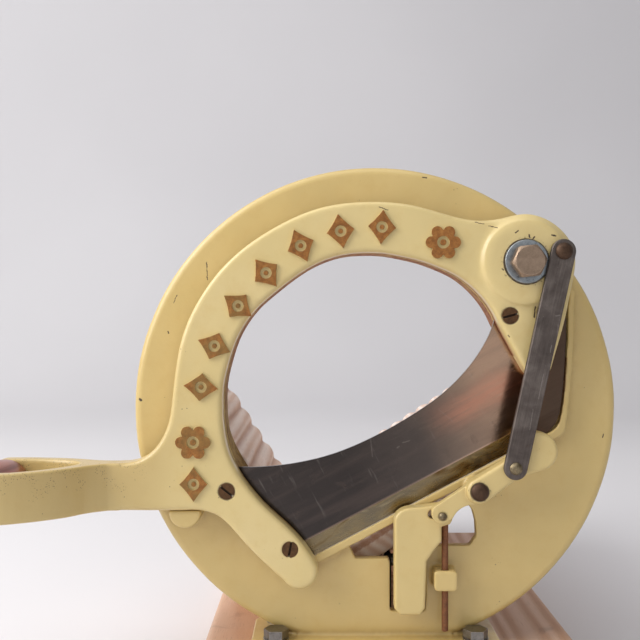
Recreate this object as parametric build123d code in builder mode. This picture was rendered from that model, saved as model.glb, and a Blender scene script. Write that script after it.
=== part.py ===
from build123d import *
import math
import os

# ---------------------------------------------------------------
# Lever bread slicer: cast disc frame, pivoted bow lever with blade,
# link and rocker feed drive, fluted wooden trough on a base board.
# Millimetres. X to the right, +Y towards the back, +Z up.
# Y = 0 is the front face of the disc, Z = 0 the underside of the base.
# Depths called *_front and *_back are measured forward from the disc.
# ---------------------------------------------------------------

# disc frame
disc_r = 147.3            # disc radius
disc_z = 168.0            # height of the disc centre
web_t = 7.0               # disc web thickness
rim_d = 15.0              # depth of the rolled rim
rim_w = 7.0               # width of the rim
lip_h = 4.6               # height of the raised lip and bar
nut_boss_h = 3.0          # height of the boss under the pivot nut
root = 1.0                # overlap of a raised feature into the web
base_t = 22.0             # base board thickness
foot_t = 7.0              # foot flange thickness
gap = 0.05                # clearance between touching pieces

# depths in front of the disc
blade_back, blade_front = 3.0, 5.0
cast_front = 19.0                      # lever casting
boss_front = 22.0                      # pivot boss
wash_front = 24.1                      # pivot washer
hex_front = 32.0                       # hex head
link_back, link_front = 24.6, 27.6
rock_back, rock_front = 15.0, 24.2
pin_front = 20.4                       # rocker's stepped-down pin end
slide_back, slide_front = 5.6, 14.7

# handle arm and fork
arm_bottom, arm_top = 109.0, 137.0     # Z
arm_end_x = -152.0                     # where the bow meets the fork
fork_end_x = -239.0
rear_prong_y = (-2.0, 7.0)             # inner and outer face
front_prong_y = (-49.6, -58.6)         # inner and outer face

# centres parallel to the disc (X, Z)
pivot = (87.5, 255.9)                  # lever pivot
link_top = (108.0, 261.7)
link_bottom = (80.1, 135.4)
rocker_pivot = (59.7, 121.2)
drive_at = (38.6, 106.2)               # drive pin
grip_at = (-224.0, (arm_bottom + arm_top) / 2)
blade_screws_at = [(78.6, 224.2), (99.0, 225.8), (-88.7, 120.6), (-51.3, 86.3)]

# centres seen from above (X, Y)
rod_at = (41.4, -9.4)                  # slider rod
foot_bolts_at = [(-60, -7.6), (60, -7.6), (-60, 27), (60, 27)]

# cutting edge and the straight bar under it
edge_slope = 0.5245
edge_angle = math.atan(edge_slope)
edge_lift = 0.5 / math.cos(edge_angle)   # vertical rise of the edge above the bar

# trough, drawn from its inner corner at the flute crests
tilt = math.radians(33.0)
tilt_cos, tilt_sin = math.cos(tilt), math.sin(tilt)
corner_x, corner_z = -36.0, 66.5
floor_dir = (tilt_cos, 0, tilt_sin)      # along the floor, square to the wall
wall_dir = (-tilt_sin, 0, tilt_cos)      # up the wall, square to the floor
board_t = 16.0
under_board = board_t + gap
floor_w, wall_h = 170.0, 130.0
trough_y0, floor_y1, wall_y1 = 15.2, 364.0, 154.0
flute_pitch, flute_d = 15.8, 3.0
cradle_t = 18.0
front_cradle_y, rear_cradle_y = 109.0, 271.0          # mid planes
front_floor_screws = [(21.8, front_cradle_y), (66.0, front_cradle_y)]    # (along floor, Y)
rear_floor_screws = [(21.8, rear_cradle_y), (148.2, rear_cradle_y)]
wall_screws = [(front_cradle_y, 16.4), (front_cradle_y, 48.0)]           # (Y, up wall)
front_base_screws = [(-60, front_cradle_y), (35, front_cradle_y)]        # (X, Y)
rear_base_screws = [(-22, rear_cradle_y), (38, rear_cradle_y)]

# rear feed drive
crank_y, crank_z = 46.0, 63.0
crank_rest = math.radians(21.5)          # angle of the long arm below the horizontal
long_arm, short_arm = 30.0, 16.0
long_tip = (crank_y - long_arm * math.cos(crank_rest),      # (Y, Z)
            crank_z - long_arm * math.sin(crank_rest))
short_tip = (crank_y + short_arm * math.sin(crank_rest),
             crank_z - short_arm * math.cos(crank_rest))
tongue_x, tongue_t = 17.5, 5.0           # slider tail and carriage leg
bracket_x = 22.0                         # middle of the crank bracket
comb_at = (22.0, 58.0)                   # spike combs, along the floor
comb_t = 3.0
carriage_drop = 19.8                     # carriage plate middle below the crests
guides_at = [(26.0, -26.0), (66.0, -26.0)]   # guide rods (along floor, above crests)

os.makedirs("parts", exist_ok=True)


def save(builder, name):
    """Label a finished piece and write its STEP file."""
    piece = builder.part
    piece.label = name
    export_step(piece, "parts/" + name + ".step")


def front(depth):
    """Plane parallel to the disc, depth in front of it; extruding goes forward."""
    return Plane.XZ.offset(depth)


def back(depth):
    """Plane parallel to the disc, depth behind it; extruding goes backward."""
    return Plane(origin=(0, depth, 0), x_dir=(-1, 0, 0), z_dir=(0, 1, 0))


def from_back(centre):
    """An (X, Z) centre in the local axes of a back() plane."""
    return (-centre[0], centre[1])


def turning_plane(centre):
    """Plane for a turned profile of (radius, Y) points about an (X, Z) centre."""
    return Plane(origin=(centre[0], 0, centre[1]), x_dir=(1, 0, 0), z_dir=(0, 0, 1))


def turning_axis(centre):
    return Axis((centre[0], 0, centre[1]), (0, 1, 0))


def turned_front(centre, depth, angle):
    """Forward-facing plane at an (X, Z) centre, its x axis turned up by angle degrees."""
    turn = math.radians(angle)
    return Plane(origin=(centre[0], -depth, centre[1]),
                 x_dir=(math.cos(turn), 0, math.sin(turn)), z_dir=(0, -1, 0))


def edges_at(shape, axis, position, tolerance=0.01):
    return shape.edges().filter_by_position(axis, position - tolerance, position + tolerance)


def bar_z(x):
    """Height of the top of the straight bar."""
    return 105.8 + (x - 14.8) * edge_slope


def floor_pt(along, below=0.0):
    """(X, Z) of a point along the trough floor and below its crests."""
    return (corner_x + along * tilt_cos + below * tilt_sin,
            corner_z + along * tilt_sin - below * tilt_cos)


def wall_pt(up, outside):
    """(X, Z) of a point up the trough wall and outside its crests."""
    return (corner_x - up * tilt_sin - outside * tilt_cos,
            corner_z + up * tilt_cos - outside * tilt_sin)


def grown(points, distance):
    """Open run of points moved outward along their local normals."""
    moved = []
    for i, (x, z) in enumerate(points):
        before, after = points[max(i - 1, 0)], points[min(i + 1, len(points) - 1)]
        step_x, step_z = after[0] - before[0], after[1] - before[1]
        length = math.hypot(step_x, step_z)
        moved.append((x + distance * step_z / length, z - distance * step_x / length))
    return moved


def soften(shape, edges, radii):
    """Round a set of edges with the first listed radius that builds."""
    for radius in radii:
        # the kernel may refuse a radius too large for the outline; try the next
        try:
            rounded = shape.fillet(radius, edges)
            if rounded.is_valid:
                return rounded
        except Exception:
            pass
    return shape


def dome_mid(radius, height, base):
    """Middle point of a dome arc standing in front of depth base."""
    sphere_r = (radius * radius + height * height) / (2 * height)
    half = math.asin(radius / sphere_r) / 2
    return (sphere_r * math.sin(half),
            -(base + height - sphere_r + sphere_r * math.cos(half)))


def domed_pin(centre, outline, dome_h):
    """Turned pin: (radius, Y) outline from its rear centre to the dome's edge."""
    dome_r, dome_y = outline[-1]
    crown = (0, dome_y - dome_h)
    with BuildPart() as pin:
        with BuildSketch(turning_plane(centre)):
            with BuildLine():
                Polyline(*outline)
                ThreePointArc(outline[-1], dome_mid(dome_r, dome_h, -dome_y), crown)
                Line(crown, outline[0])
            make_face()
        revolve(axis=turning_axis(centre))
    return pin


def hex_nut(centre, depth, flat_r, bore_r, height):
    """Nut standing backward from a depth behind the disc's front face."""
    with BuildPart() as nut:
        with BuildSketch(back(depth)):
            with Locations(from_back(centre)):
                RegularPolygon(radius=flat_r, side_count=6, major_radius=False)
                Circle(bore_r, mode=Mode.SUBTRACT)
        extrude(amount=height)
    return nut


# trough planes
corner = (corner_x, 0, corner_z)
# section: x along the floor, y up the wall, facing forward
section = Plane(origin=corner, x_dir=floor_dir, z_dir=(0, -1, 0))
# floor face: x along the floor, y towards the back
floor_face = Plane(origin=corner, x_dir=floor_dir, z_dir=wall_dir)
# wall face: x towards the back, y up the wall
wall_face = Plane(origin=corner, x_dir=(0, 1, 0), z_dir=floor_dir)

# inner edge of the bow and upper edge of the bread opening (X, Z), right to left
bow_inner = [
    (69.6, 225.4), (62.7, 235.4), (55.1, 242.9), (46.6, 248.8), (37.8, 252.9),
    (28.3, 256.4), (16.5, 259.3), (4.1, 261.5), (-8.3, 261.8), (-20.0, 260.6),
    (-30.0, 257.7), (-40.1, 252.9), (-51.9, 244.9), (-63.1, 236.0), (-71.2, 228.6),
    (-78.2, 219.6), (-83.4, 210.0), (-87.0, 199.7), (-89.6, 190.2), (-91.1, 181.6),
    (-91.5, 171.8), (-91.2, 162.0), (-90.2, 153.6), (-88.8, 146.5), (-86.8, 140.4)]

# ---------------------------------------------------------------
# frame plate: disc with rolled rim, bread opening, lip and bar
# ---------------------------------------------------------------
# lower left of the bread opening (X, Z)
opening_left = [(-80.6, 126.5), (-68.6, 107.0), (-57.0, 89.0)]
# stiffening flange, 5 outside the opening, every second point
flange_edge = grown(bow_inner + opening_left, 5.0)[::2]
# left and right edges of the raised lip (X, Z)
lip_left = [(117.4, 240.0), (116.8, 224.7), (116.4, 210.8), (115.4, 192.0),
            (114.4, 178.1), (112.7, 164.8), (110.9, 158.0), (106.9, 154.1)]
lip_right = [(109.2, 150.1), (113.4, 152.4), (115.9, 160.4), (117.4, 173.6),
             (118.6, 187.4), (119.7, 203.0), (120.3, 224.7), (120.8, 240.0)]
bar_end = (-47.0, bar_z(-47.0))
bar_end_low = (-44.9, bar_end[1] - 4.1)

with BuildPart() as frame_plate:
    with BuildSketch(back(0)):
        with Locations((0, disc_z)):
            Circle(disc_r)
    extrude(amount=web_t)
    with BuildSketch(back(web_t)):
        with Locations((0, disc_z)):
            Circle(disc_r)
            Circle(disc_r - rim_w, mode=Mode.SUBTRACT)
    extrude(amount=rim_d - web_t)
    fillet(edges_at(frame_plate, Axis.Y, 0).filter_by(GeomType.CIRCLE), radius=4.5)
    fillet(edges_at(frame_plate, Axis.Y, rim_d).filter_by(GeomType.CIRCLE), radius=2.0)
    # flat on the underside, then the foot flange with two webs behind the disc
    with BuildSketch(Plane.XY):
        Rectangle(200, 60)
    extrude(amount=base_t + 2.5, mode=Mode.SUBTRACT)
    with BuildSketch(Plane.XY.offset(base_t)):
        with Locations((0, 10)):
            RectangleRounded(150, 54, 9)
    extrude(amount=foot_t)
    for web_x in (-51.5, 46):
        with BuildSketch(Plane.YZ.offset(web_x)):
            Polygon((web_t, base_t + 3), (32, base_t + 3), (32, base_t + foot_t + 2),
                    (web_t, base_t + 34), align=None)
        extrude(amount=5.5)
    # stiffening flange round the bread opening
    with BuildSketch(front(-rim_d)):
        with BuildLine():
            Spline(*flange_edge)
            Polyline(flange_edge[-1], (-52.0, 66.0), (-43.0, bar_z(-43.0) - 7.0),
                     (84.0, bar_z(84.0) - 7.0), (95.0, 147.0))
            Spline((95.0, 147.0), (94.5, 165.0), (90.0, 188.0), (82.0, 208.0), flange_edge[0])
        make_face()
    extrude(amount=rim_d - root)
    # raised lip on the right and straight bar under the blade
    with BuildSketch(front(-root)):
        with BuildLine():
            Spline(*lip_left)
            Line(lip_left[-1], bar_end)
            Line(bar_end, bar_end_low)
            Line(bar_end_low, lip_right[0])
            Spline(*lip_right)
            Line(lip_right[-1], lip_left[0])
        make_face()
    extrude(amount=lip_h + root)
    # half-round stop under the handle arm
    with BuildSketch(front(-root)):
        with BuildLine():
            Line((-123.4, 108.2), (-104.6, 108.2))
            ThreePointArc((-104.6, 108.2), (-113.6, 97.9), (-123.4, 108.2))
        make_face()
    extrude(amount=15 + root)
    # bearing boss of the rocker
    with BuildSketch(front(-root)):
        with Locations(rocker_pivot):
            Circle(6.0)
    extrude(amount=rock_back - 0.1 + root)
    # lug that guides the slider rod
    with BuildSketch(front(-root)):
        with Locations((rod_at[0], 66.0)):
            RectangleRounded(14, 12, 2.5)
    extrude(amount=14 + root)
    # boss behind the web under the pivot nut
    with BuildSketch(back(web_t - root)):
        with Locations(from_back(pivot)):
            Circle(15.0)
    extrude(amount=nut_boss_h + root)
    # bread opening
    with BuildSketch(front(-rim_d - 1)):
        with BuildLine():
            Spline(*bow_inner)
            Spline(bow_inner[-1], *opening_left, (-45.0, bar_z(-45.0)))
            Line((-45.0, bar_z(-45.0)), (80.0, bar_z(80.0)))
            Spline((80.0, bar_z(80.0)), (87.5, 149.0), (89.5, 165.0), (85.8, 186.0),
                   (78.6, 206.0), bow_inner[0])
        make_face()
    extrude(amount=rim_d + 2, mode=Mode.SUBTRACT)
    # feed opening below the bar
    with BuildSketch(front(-rim_d - 1)):
        with BuildLine():
            Polyline((-16.0, bar_z(-16.0) - 5.2), (47.0, bar_z(47.0) - 5.2), (55.0, 111.5),
                     (59.6, 105.5), (61.4, 98.9), (61.9, 90.0), (58.0, 84.0), (31.0, 84.0),
                     (31.0, 44.0), (9.0, 44.0), (9.0, 76.0), (-12.0, 76.0), close=True)
        make_face()
        fillet(vertices(), radius=1.6)
    extrude(amount=rim_d + 12, mode=Mode.SUBTRACT)
    # pocket for the rocker nut in the stiffening flange
    with BuildSketch(front(-rim_d - 1)):
        with Locations(rocker_pivot):
            Circle(8.6)
    extrude(amount=rim_d + 1 - web_t, mode=Mode.SUBTRACT)
    # bores: lever pivot, rocker stud, slider rod, foot bolts
    for centre, bore_r in ((pivot, 6.05), (rocker_pivot, 3.55)):
        with BuildSketch(front(40)):
            with Locations(centre):
                Circle(bore_r)
        extrude(amount=-70, mode=Mode.SUBTRACT)
    with BuildSketch(Plane.XY.offset(50)):
        with Locations(rod_at):
            Circle(2.05)
    extrude(amount=30, mode=Mode.SUBTRACT)
    with BuildSketch(Plane.XY.offset(base_t - 1)):
        with Locations(*foot_bolts_at):
            Circle(4.1)
    extrude(amount=foot_t + 2, mode=Mode.SUBTRACT)
save(frame_plate, "frame_plate")

# ---------------------------------------------------------------
# lever casting: C-shaped bow, boss, two legs, forked handle
# ---------------------------------------------------------------
# bow outlines (X, Z), in drawing order
bow_outer = [
    (arm_end_x, arm_top), (-144.0, 137.8), (-137.0, 140.8), (-131.4, 145.6),
    (-126.4, 153.0), (-123.2, 161.0), (-121.2, 173.4), (-119.0, 193.0), (-116.0, 209.0),
    (-111.9, 221.0), (-102.6, 238.2), (-85.8, 258.4), (-63.8, 274.6), (-34.5, 287.8),
    (-4.1, 291.8), (20.6, 289.8), (41.3, 284.3), (57.8, 280.8), (74.3, 282.0),
    (88.0, 284.6), (101.0, 281.2), (110.5, 274.0), (116.4, 264.5), (117.6, 254.5),
    (115.9, 244.0), (112.6, 227.0), (107.6, 208.0), (103.4, 193.6)]
right_leg_inner = [(88.2, 190.9), (84.9, 196.6), (80.2, 205.0), (75.1, 214.4), bow_inner[0]]
left_leg_inner = [bow_inner[-1], (-83.0, 132.8), (-76.0, 122.3), (-65.4, 110.4),
                  (-52.6, 98.7), (-41.6, 86.4), (-35.2, 75.8)]
left_leg_outer = [(-55.0, 67.4), (-66.0, 77.4), (-77.2, 88.6), (-86.0, 98.6),
                  (-94.0, 105.6), (-103.0, 108.7), (-113.0, arm_bottom)]
with BuildPart() as bow_blank:
    with BuildSketch(front(blade_front)):
        with BuildLine():
            Line((arm_end_x, arm_bottom), bow_outer[0])
            Spline(*bow_outer)
            ThreePointArc(bow_outer[-1], (96.5, 187.6), right_leg_inner[0])
            Spline(*right_leg_inner)
            Spline(*bow_inner)
            Spline(*left_leg_inner)
            ThreePointArc(left_leg_inner[-1], (-41.5, 63.2), left_leg_outer[0])
            Spline(*left_leg_outer)
            Line(left_leg_outer[-1], (arm_end_x, arm_bottom))
        make_face()
    extrude(amount=cast_front - blade_front)
# front edges, without the one where the fork joins
bow_edges = [e for e in edges_at(bow_blank, Axis.Y, -cast_front, 0.05)
             if e.center().X > arm_end_x + 2]
bow = soften(bow_blank.part, bow_edges, (3.0, 2.5, 2.0, 1.5, 1.0))

# forked handle, drawn in plan (X, Y) and trimmed to the rounded side view
fork_rear = [(arm_end_x, -blade_front), (-162.0, -4.6), (-170.0, -2.9), (-178.0, 0.2),
             (-188.0, 3.8), (-204.0, 6.4), (-218.0, rear_prong_y[1])]
fork_throat = [
    (-214.0, rear_prong_y[0]), (-201.0, -2.8), (-189.0, -5.8), (-180.5, -10.2),
    (-176.5, -16.0), (-178.5, -23.0), (-184.5, -32.0), (-193.0, -40.4), (-203.0, -46.6),
    (-214.0, front_prong_y[0])]
fork_front = [
    (-216.0, front_prong_y[1]), (-207.0, -56.2), (-196.0, -50.8), (-185.0, -43.9),
    (-175.5, -35.0), (-168.0, -26.2), (-160.5, -20.8), (arm_end_x, -cast_front)]
grip_x, grip_z = grip_at
end_r = 14.05                          # rounded fork end
with BuildPart() as fork_blank:
    with BuildSketch(Plane.XY.offset(arm_bottom)):
        with BuildLine():
            Line((arm_end_x, -cast_front), fork_rear[0])
            Spline(*fork_rear, tangents=((-1, 0), (-1, 0)))
            Line(fork_rear[-1], (fork_end_x, rear_prong_y[1]))
            Line((fork_end_x, rear_prong_y[1]), (fork_end_x, rear_prong_y[0]))
            Line((fork_end_x, rear_prong_y[0]), fork_throat[0])
            Spline(*fork_throat, tangents=((1, 0), (-1, -0.1)))
            Line(fork_throat[-1], (fork_end_x, front_prong_y[0]))
            Line((fork_end_x, front_prong_y[0]), (fork_end_x, front_prong_y[1]))
            Line((fork_end_x, front_prong_y[1]), fork_front[0])
            Spline(*fork_front, tangents=((1, 0.15), (1, 0)))
        make_face()
    extrude(amount=arm_top - arm_bottom)
    with BuildSketch(front(0)):
        with BuildLine():
            Polyline((-246.0, 95.0), (-246.0, 152.0), (grip_x, 152.0), (grip_x, grip_z + end_r))
            ThreePointArc((grip_x, grip_z + end_r), (grip_x - end_r, grip_z),
                          (grip_x, grip_z - end_r))
            Polyline((grip_x, grip_z - end_r), (grip_x, 95.0), (-246.0, 95.0))
        make_face()
    extrude(amount=80, both=True, mode=Mode.SUBTRACT)
# top and bottom edges, without the ends and the joint with the bow
fork_edges = [e for e in fork_blank.edges()
              if (abs(e.center().Z - arm_top) < 0.1 or abs(e.center().Z - arm_bottom) < 0.1)
              and e.center().X > fork_end_x + 1
              and abs(e.center().X - arm_end_x) > 0.5]
fork = soften(fork_blank.part, fork_edges, (2.6, 2.2, 1.8, 1.4, 1.0, 0.6))

with BuildPart() as lever_casting:
    add(bow)
    add(fork)
    # pivot boss
    with BuildSketch(front(cast_front - 0.5)):
        with Locations(pivot):
            Circle(27.0)
    extrude(amount=boss_front - cast_front + 0.5, taper=35)
    # bores: pivot sleeve, link stud, grip bolt
    for centre, bore_r, start, depth in ((pivot, 8.05, 60, 70), (link_top, 3.05, 60, 70),
                                         (grip_at, 3.55, 80, 100)):
        with BuildSketch(front(start)):
            with Locations(centre):
                Circle(bore_r)
        extrude(amount=-depth, mode=Mode.SUBTRACT)
    with Locations(front(cast_front)):
        with Locations(*blade_screws_at):
            CounterSinkHole(radius=2.55, counter_sink_radius=4.95, depth=20,
                            counter_sink_angle=90)
save(lever_casting, "lever_casting")

# ---------------------------------------------------------------
# blade with ground bevel along its cutting edge
# ---------------------------------------------------------------
# upper edge of the blade (X, Z), left to right
blade_top = [
    (-86.0, 132.9), (-76.3, 132.6), (-67.1, 132.9), (-56.3, 133.9), (-45.7, 135.6),
    (-33.6, 138.3), (-21.5, 142.1), (-5.2, 149.0), (10.6, 157.2), (24.5, 165.6),
    (38.4, 175.3), (48.7, 184.6), (56.6, 193.4), (65.6, 206.6), (70.8, 218.0),
    (72.5, 228.0)]
# rest of the outline (X, Z), down the right, along the edge and up the left
blade_rest = [
    (72.5, 238.0), (104.0, 238.0), (112.5, 232.0), (115.4, 222.0), (115.4, 210.8),
    (114.3, 192.0), (113.2, 178.1), (111.3, 164.8), (109.4, 159.0),
    (105.0, bar_z(105.0) + edge_lift), (-57.5, bar_z(-57.5) + edge_lift),
    (-70.0, 86.0), (-90.0, 108.0), (-96.0, 116.0), (-96.0, 127.0), (-92.0, 132.0)]
# plane square to the cutting edge: x forward, y down from the edge
bevel_plane = Plane(origin=(-60.0, 0, bar_z(-60.0) + edge_lift), x_dir=(0, -1, 0),
                    z_dir=(math.cos(edge_angle), 0, math.sin(edge_angle)))
with BuildPart() as blade:
    with BuildSketch(front(blade_back)):
        with BuildLine():
            Spline(*blade_top)
            Polyline(blade_top[-1], *blade_rest, blade_top[0])
        make_face()
    extrude(amount=blade_front - blade_back)
    with BuildSketch(bevel_plane):
        Polygon((blade_front, -10.4), (blade_front - 1.6, 0.5), (blade_front + 1, 0.5),
                (blade_front + 1, -10.4), align=None)
    extrude(amount=200, mode=Mode.SUBTRACT)
    with BuildSketch(front(0)):
        with Locations(*blade_screws_at):
            Circle(2.55)
    extrude(amount=10, mode=Mode.SUBTRACT)
save(blade, "blade")

# slotted countersunk blade screws; the slots point at different angles
with BuildPart() as blade_screws:
    for centre, slot_angle in zip(blade_screws_at, (15.0, 62.0, -38.0, 80.0)):
        with BuildSketch(turning_plane(centre)):
            Polygon((0, -blade_back), (2.5, -blade_back), (2.5, -cast_front + 2.4),
                    (4.85, -cast_front + gap), (0, -cast_front + gap), align=None)
        revolve(axis=turning_axis(centre))
        with BuildSketch(turned_front(centre, cast_front + 0.4, slot_angle)):
            Rectangle(12, 1.3)
        extrude(amount=-1.7, mode=Mode.SUBTRACT)
save(blade_screws, "blade_screws")

# ---------------------------------------------------------------
# pivot: sleeve, washer, hex bolt, rear washer and nut
# ---------------------------------------------------------------
with BuildPart() as pivot_sleeve:
    with BuildSketch(front(gap)):
        with Locations(pivot):
            Circle(8.0)
            Circle(6.05, mode=Mode.SUBTRACT)
    extrude(amount=boss_front + gap)
save(pivot_sleeve, "pivot_sleeve")

with BuildPart() as pivot_washer:
    with BuildSketch(front(boss_front + 0.12)):
        with Locations(pivot):
            Circle(12.9)
            Circle(6.1, mode=Mode.SUBTRACT)
    extrude(amount=wash_front - boss_front - 0.12)
    fillet(edges_at(pivot_washer, Axis.Y, -wash_front).sort_by(SortBy.RADIUS)[-1], radius=0.7)
save(pivot_washer, "pivot_washer")

head_back = wash_front + 0.02
head_front = hex_front + 0.02
bolt_tail_y = 24.0
with BuildPart() as pivot_bolt:
    with BuildSketch(front(head_back)):
        with Locations(pivot):
            RegularPolygon(radius=9.0, side_count=6, major_radius=False, rotation=6)
    extrude(amount=hex_front - wash_front)
    # cone that takes the corners off the head
    with BuildSketch(turning_plane(pivot)):
        Polygon((0, -head_back), (10.1, -head_back), (10.1, -hex_front + 1.7),
                (8.4, -head_front), (0, -head_front), align=None)
    revolve(axis=turning_axis(pivot), mode=Mode.INTERSECT)
    with BuildSketch(front(head_back)):
        with Locations(pivot):
            Circle(6.0)
    extrude(amount=-(wash_front + bolt_tail_y))
    chamfer(edges_at(pivot_bolt, Axis.Y, bolt_tail_y, 0.1), length=0.9)
save(pivot_bolt, "pivot_bolt")

rear_washer_y = web_t + nut_boss_h + gap
rear_washer_t = 2.2
with BuildPart() as pivot_nut:
    with BuildSketch(back(rear_washer_y)):
        with Locations(from_back(pivot)):
            Circle(12.0)
            Circle(6.1, mode=Mode.SUBTRACT)
    extrude(amount=rear_washer_t)
    with BuildSketch(back(rear_washer_y + rear_washer_t)):
        with Locations(from_back(pivot)):
            RegularPolygon(radius=9.5, side_count=6, major_radius=False)
            Circle(6.05, mode=Mode.SUBTRACT)
    extrude(amount=8.5)
save(pivot_nut, "pivot_nut")

# ---------------------------------------------------------------
# link bar with its top stud and bottom rivet
# ---------------------------------------------------------------
with BuildPart() as link_bar:
    with BuildSketch(front(link_back)):
        with Locations(link_top):
            Circle(7.1)
        with Locations(link_bottom):
            Circle(6.7)
        make_hull()
        with Locations(link_top):
            Circle(3.06, mode=Mode.SUBTRACT)
        with Locations(link_bottom):
            Circle(3.05, mode=Mode.SUBTRACT)
    extrude(amount=link_front - link_back)
    chamfer(edges_at(link_bar, Axis.Y, -link_front), length=0.45)
save(link_bar, "link_bar")

# the stud has a collar between the boss and the link
stud_outline = [
    (0, -blade_front), (3.0, -blade_front), (3.0, -boss_front - 0.05),
    (5.2, -boss_front - 0.05), (5.2, -link_back + 0.1), (3.0, -link_back + 0.1),
    (3.0, -link_front - 0.1), (4.9, -link_front - 0.1), (4.9, -link_front - 0.8)]
save(domed_pin(link_top, stud_outline, dome_h=2.4), "link_stud")

rivet_outline = [
    (0, -rock_back - 0.5), (1.9, -rock_back - 0.5), (1.9, -link_front - 0.1),
    (3.7, -link_front - 0.1), (3.7, -link_front - 0.5)]
save(domed_pin(link_bottom, rivet_outline, dome_h=1.7), "link_rivet")

# ---------------------------------------------------------------
# rocker with its stud and drive pin
# ---------------------------------------------------------------
rocker_elbow = (link_bottom[0] + 0.3, link_bottom[1] - 0.2)
with BuildPart() as rocker_blank:
    # thinner drive arm, hollowed on its underside
    with BuildSketch(front(rock_back)):
        with Locations(rocker_pivot):
            Circle(6.4)
        with Locations((37.9, 107.6)):
            Circle(5.7)
        make_hull()
        with Locations((56.5, 100.0)):
            Circle(12.9, mode=Mode.SUBTRACT)
    extrude(amount=pin_front - rock_back)
    # arm to the link, then the widening end beyond it
    for (start, start_r), (end, end_r) in (((rocker_pivot, 7.5), (rocker_elbow, 6.3)),
                                           ((rocker_elbow, 6.3), ((94.2, 144.7), 11.4))):
        with BuildSketch(front(rock_back)):
            with Locations(start):
                Circle(start_r)
            with Locations(end):
                Circle(end_r)
            make_hull()
        extrude(amount=rock_front - rock_back)
rocker_edges = edges_at(rocker_blank.part, Axis.Y, -rock_front, 0.05)
rocker = soften(rocker_blank.part, rocker_edges, (2.2, 1.8, 1.4, 1.0, 0.6))
with BuildPart() as rocker_arm:
    add(rocker)
    for centre, bore_r, depth in ((rocker_pivot, 3.56, 40), (drive_at, 2.05, 40),
                                  (link_bottom, 1.95, 25)):
        with BuildSketch(front(40)):
            with Locations(centre):
                Circle(bore_r)
        extrude(amount=-depth, mode=Mode.SUBTRACT)
save(rocker_arm, "rocker_arm")

stud_outline = [(0, 13.6), (3.5, 13.6), (3.5, -rock_front - 0.1), (5.1, -rock_front - 0.1),
                (5.1, -rock_front - 0.9)]
save(domed_pin(rocker_pivot, stud_outline, dome_h=2.1), "rocker_stud")

save(hex_nut(rocker_pivot, web_t + gap, flat_r=6.5, bore_r=3.55, height=5.0), "rocker_nut")

pin_outline = [
    (0, -slide_back - 1.0), (2.0, -slide_back - 1.0), (2.0, -pin_front - 0.05),
    (2.3, -pin_front - 0.05), (2.3, -pin_front - 0.4)]
save(domed_pin(drive_at, pin_outline, dome_h=1.3), "drive_pin")

# ---------------------------------------------------------------
# feed slider with its rod: rises as the lever is raised
# ---------------------------------------------------------------
with BuildPart() as feed_slider:
    with BuildSketch(front(slide_back)):
        with BuildLine():
            Polyline((14.0, 46.0), (10.7, 50.0), (10.7, 102.0))
            Spline((10.7, 102.0), (12.2, 106.0), (17.5, 109.4), (25.0, 110.2),
                   (33.0, 111.2), (40.0, 112.4))
            ThreePointArc((40.0, 112.4), (44.0, 111.0), (45.2, 107.0))
            Polyline((45.2, 107.0), (45.2, 102.4), (43.8, 100.0), (38.9, 98.6), (38.9, 90.0),
                     (34.0, 84.0), (30.0, 78.0), (29.0, 50.0), (26.0, 46.0), (14.0, 46.0))
        make_face()
    extrude(amount=slide_front - slide_back)
    fillet(edges_at(feed_slider, Axis.Y, -slide_front), radius=1.6)
    # tail through the feed opening, with its drive window
    with BuildSketch(Plane.YZ.offset(tongue_x)):
        Polygon((-slide_back - 2, 46.0), (24.0, 45.5), (24.0, 58.5), (-slide_back - 2, 62.0),
                align=None)
        with Locations((long_tip[0] - 0.9, long_tip[1])):
            SlotOverall(9.0, 6.4, mode=Mode.SUBTRACT)
    extrude(amount=tongue_t)
    # slot for the drive pin and bore for the rod
    with BuildSketch(front(0)):
        with Locations((drive_at[0] - 2.4, drive_at[1])):
            SlotOverall(11.2, 5.4)
    extrude(amount=30, mode=Mode.SUBTRACT)
    with BuildSketch(Plane.XY.offset(60)):
        with Locations(rod_at):
            Circle(2.0)
    extrude(amount=43.2, mode=Mode.SUBTRACT)
save(feed_slider, "feed_slider")

rod_z = 35.0                           # lower end
with BuildPart() as slider_rod:
    with BuildSketch(Plane.XY.offset(rod_z)):
        with Locations(rod_at):
            Circle(1.98)
    extrude(amount=68.0)
    chamfer(edges_at(slider_rod, Axis.Z, rod_z, 0.1), length=0.5)
save(slider_rod, "slider_rod")

# ---------------------------------------------------------------
# bell crank with its two pins, axle and bracket
# ---------------------------------------------------------------
crank_at = (crank_y, crank_z)
with BuildPart() as bell_crank:
    for hub_r, tip in ((7.5, long_tip), (7.0, short_tip)):
        with BuildSketch(Plane.YZ.offset(23.2)):
            with Locations(crank_at):
                Circle(hub_r)
            with Locations(tip):
                Circle(4.0)
            make_hull()
        extrude(amount=4.8)
    with BuildSketch(Plane.YZ.offset(20)):
        with Locations(crank_at):
            Circle(4.05)
    extrude(amount=12, mode=Mode.SUBTRACT)
    with BuildSketch(Plane.YZ.offset(20)):
        with Locations(long_tip, short_tip):
            Circle(2.5)
    extrude(amount=12, mode=Mode.SUBTRACT)
save(bell_crank, "bell_crank")

crank_pin_x = 16.8                     # left end
with BuildPart() as crank_pins:
    with BuildSketch(Plane.YZ.offset(crank_pin_x)):
        with Locations(long_tip, short_tip):
            Circle(2.48)
    extrude(amount=11.6)
    chamfer(edges_at(crank_pins, Axis.X, crank_pin_x, 0.1), length=0.4)
save(crank_pins, "crank_pins")

with BuildPart() as crank_axle:
    with BuildSketch(Plane.YZ.offset(8.6)):
        with Locations(crank_at):
            Circle(4.0)
    extrude(amount=26.8)
    chamfer(crank_axle.edges().filter_by(GeomType.CIRCLE), length=0.5)
save(crank_axle, "crank_axle")

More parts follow.
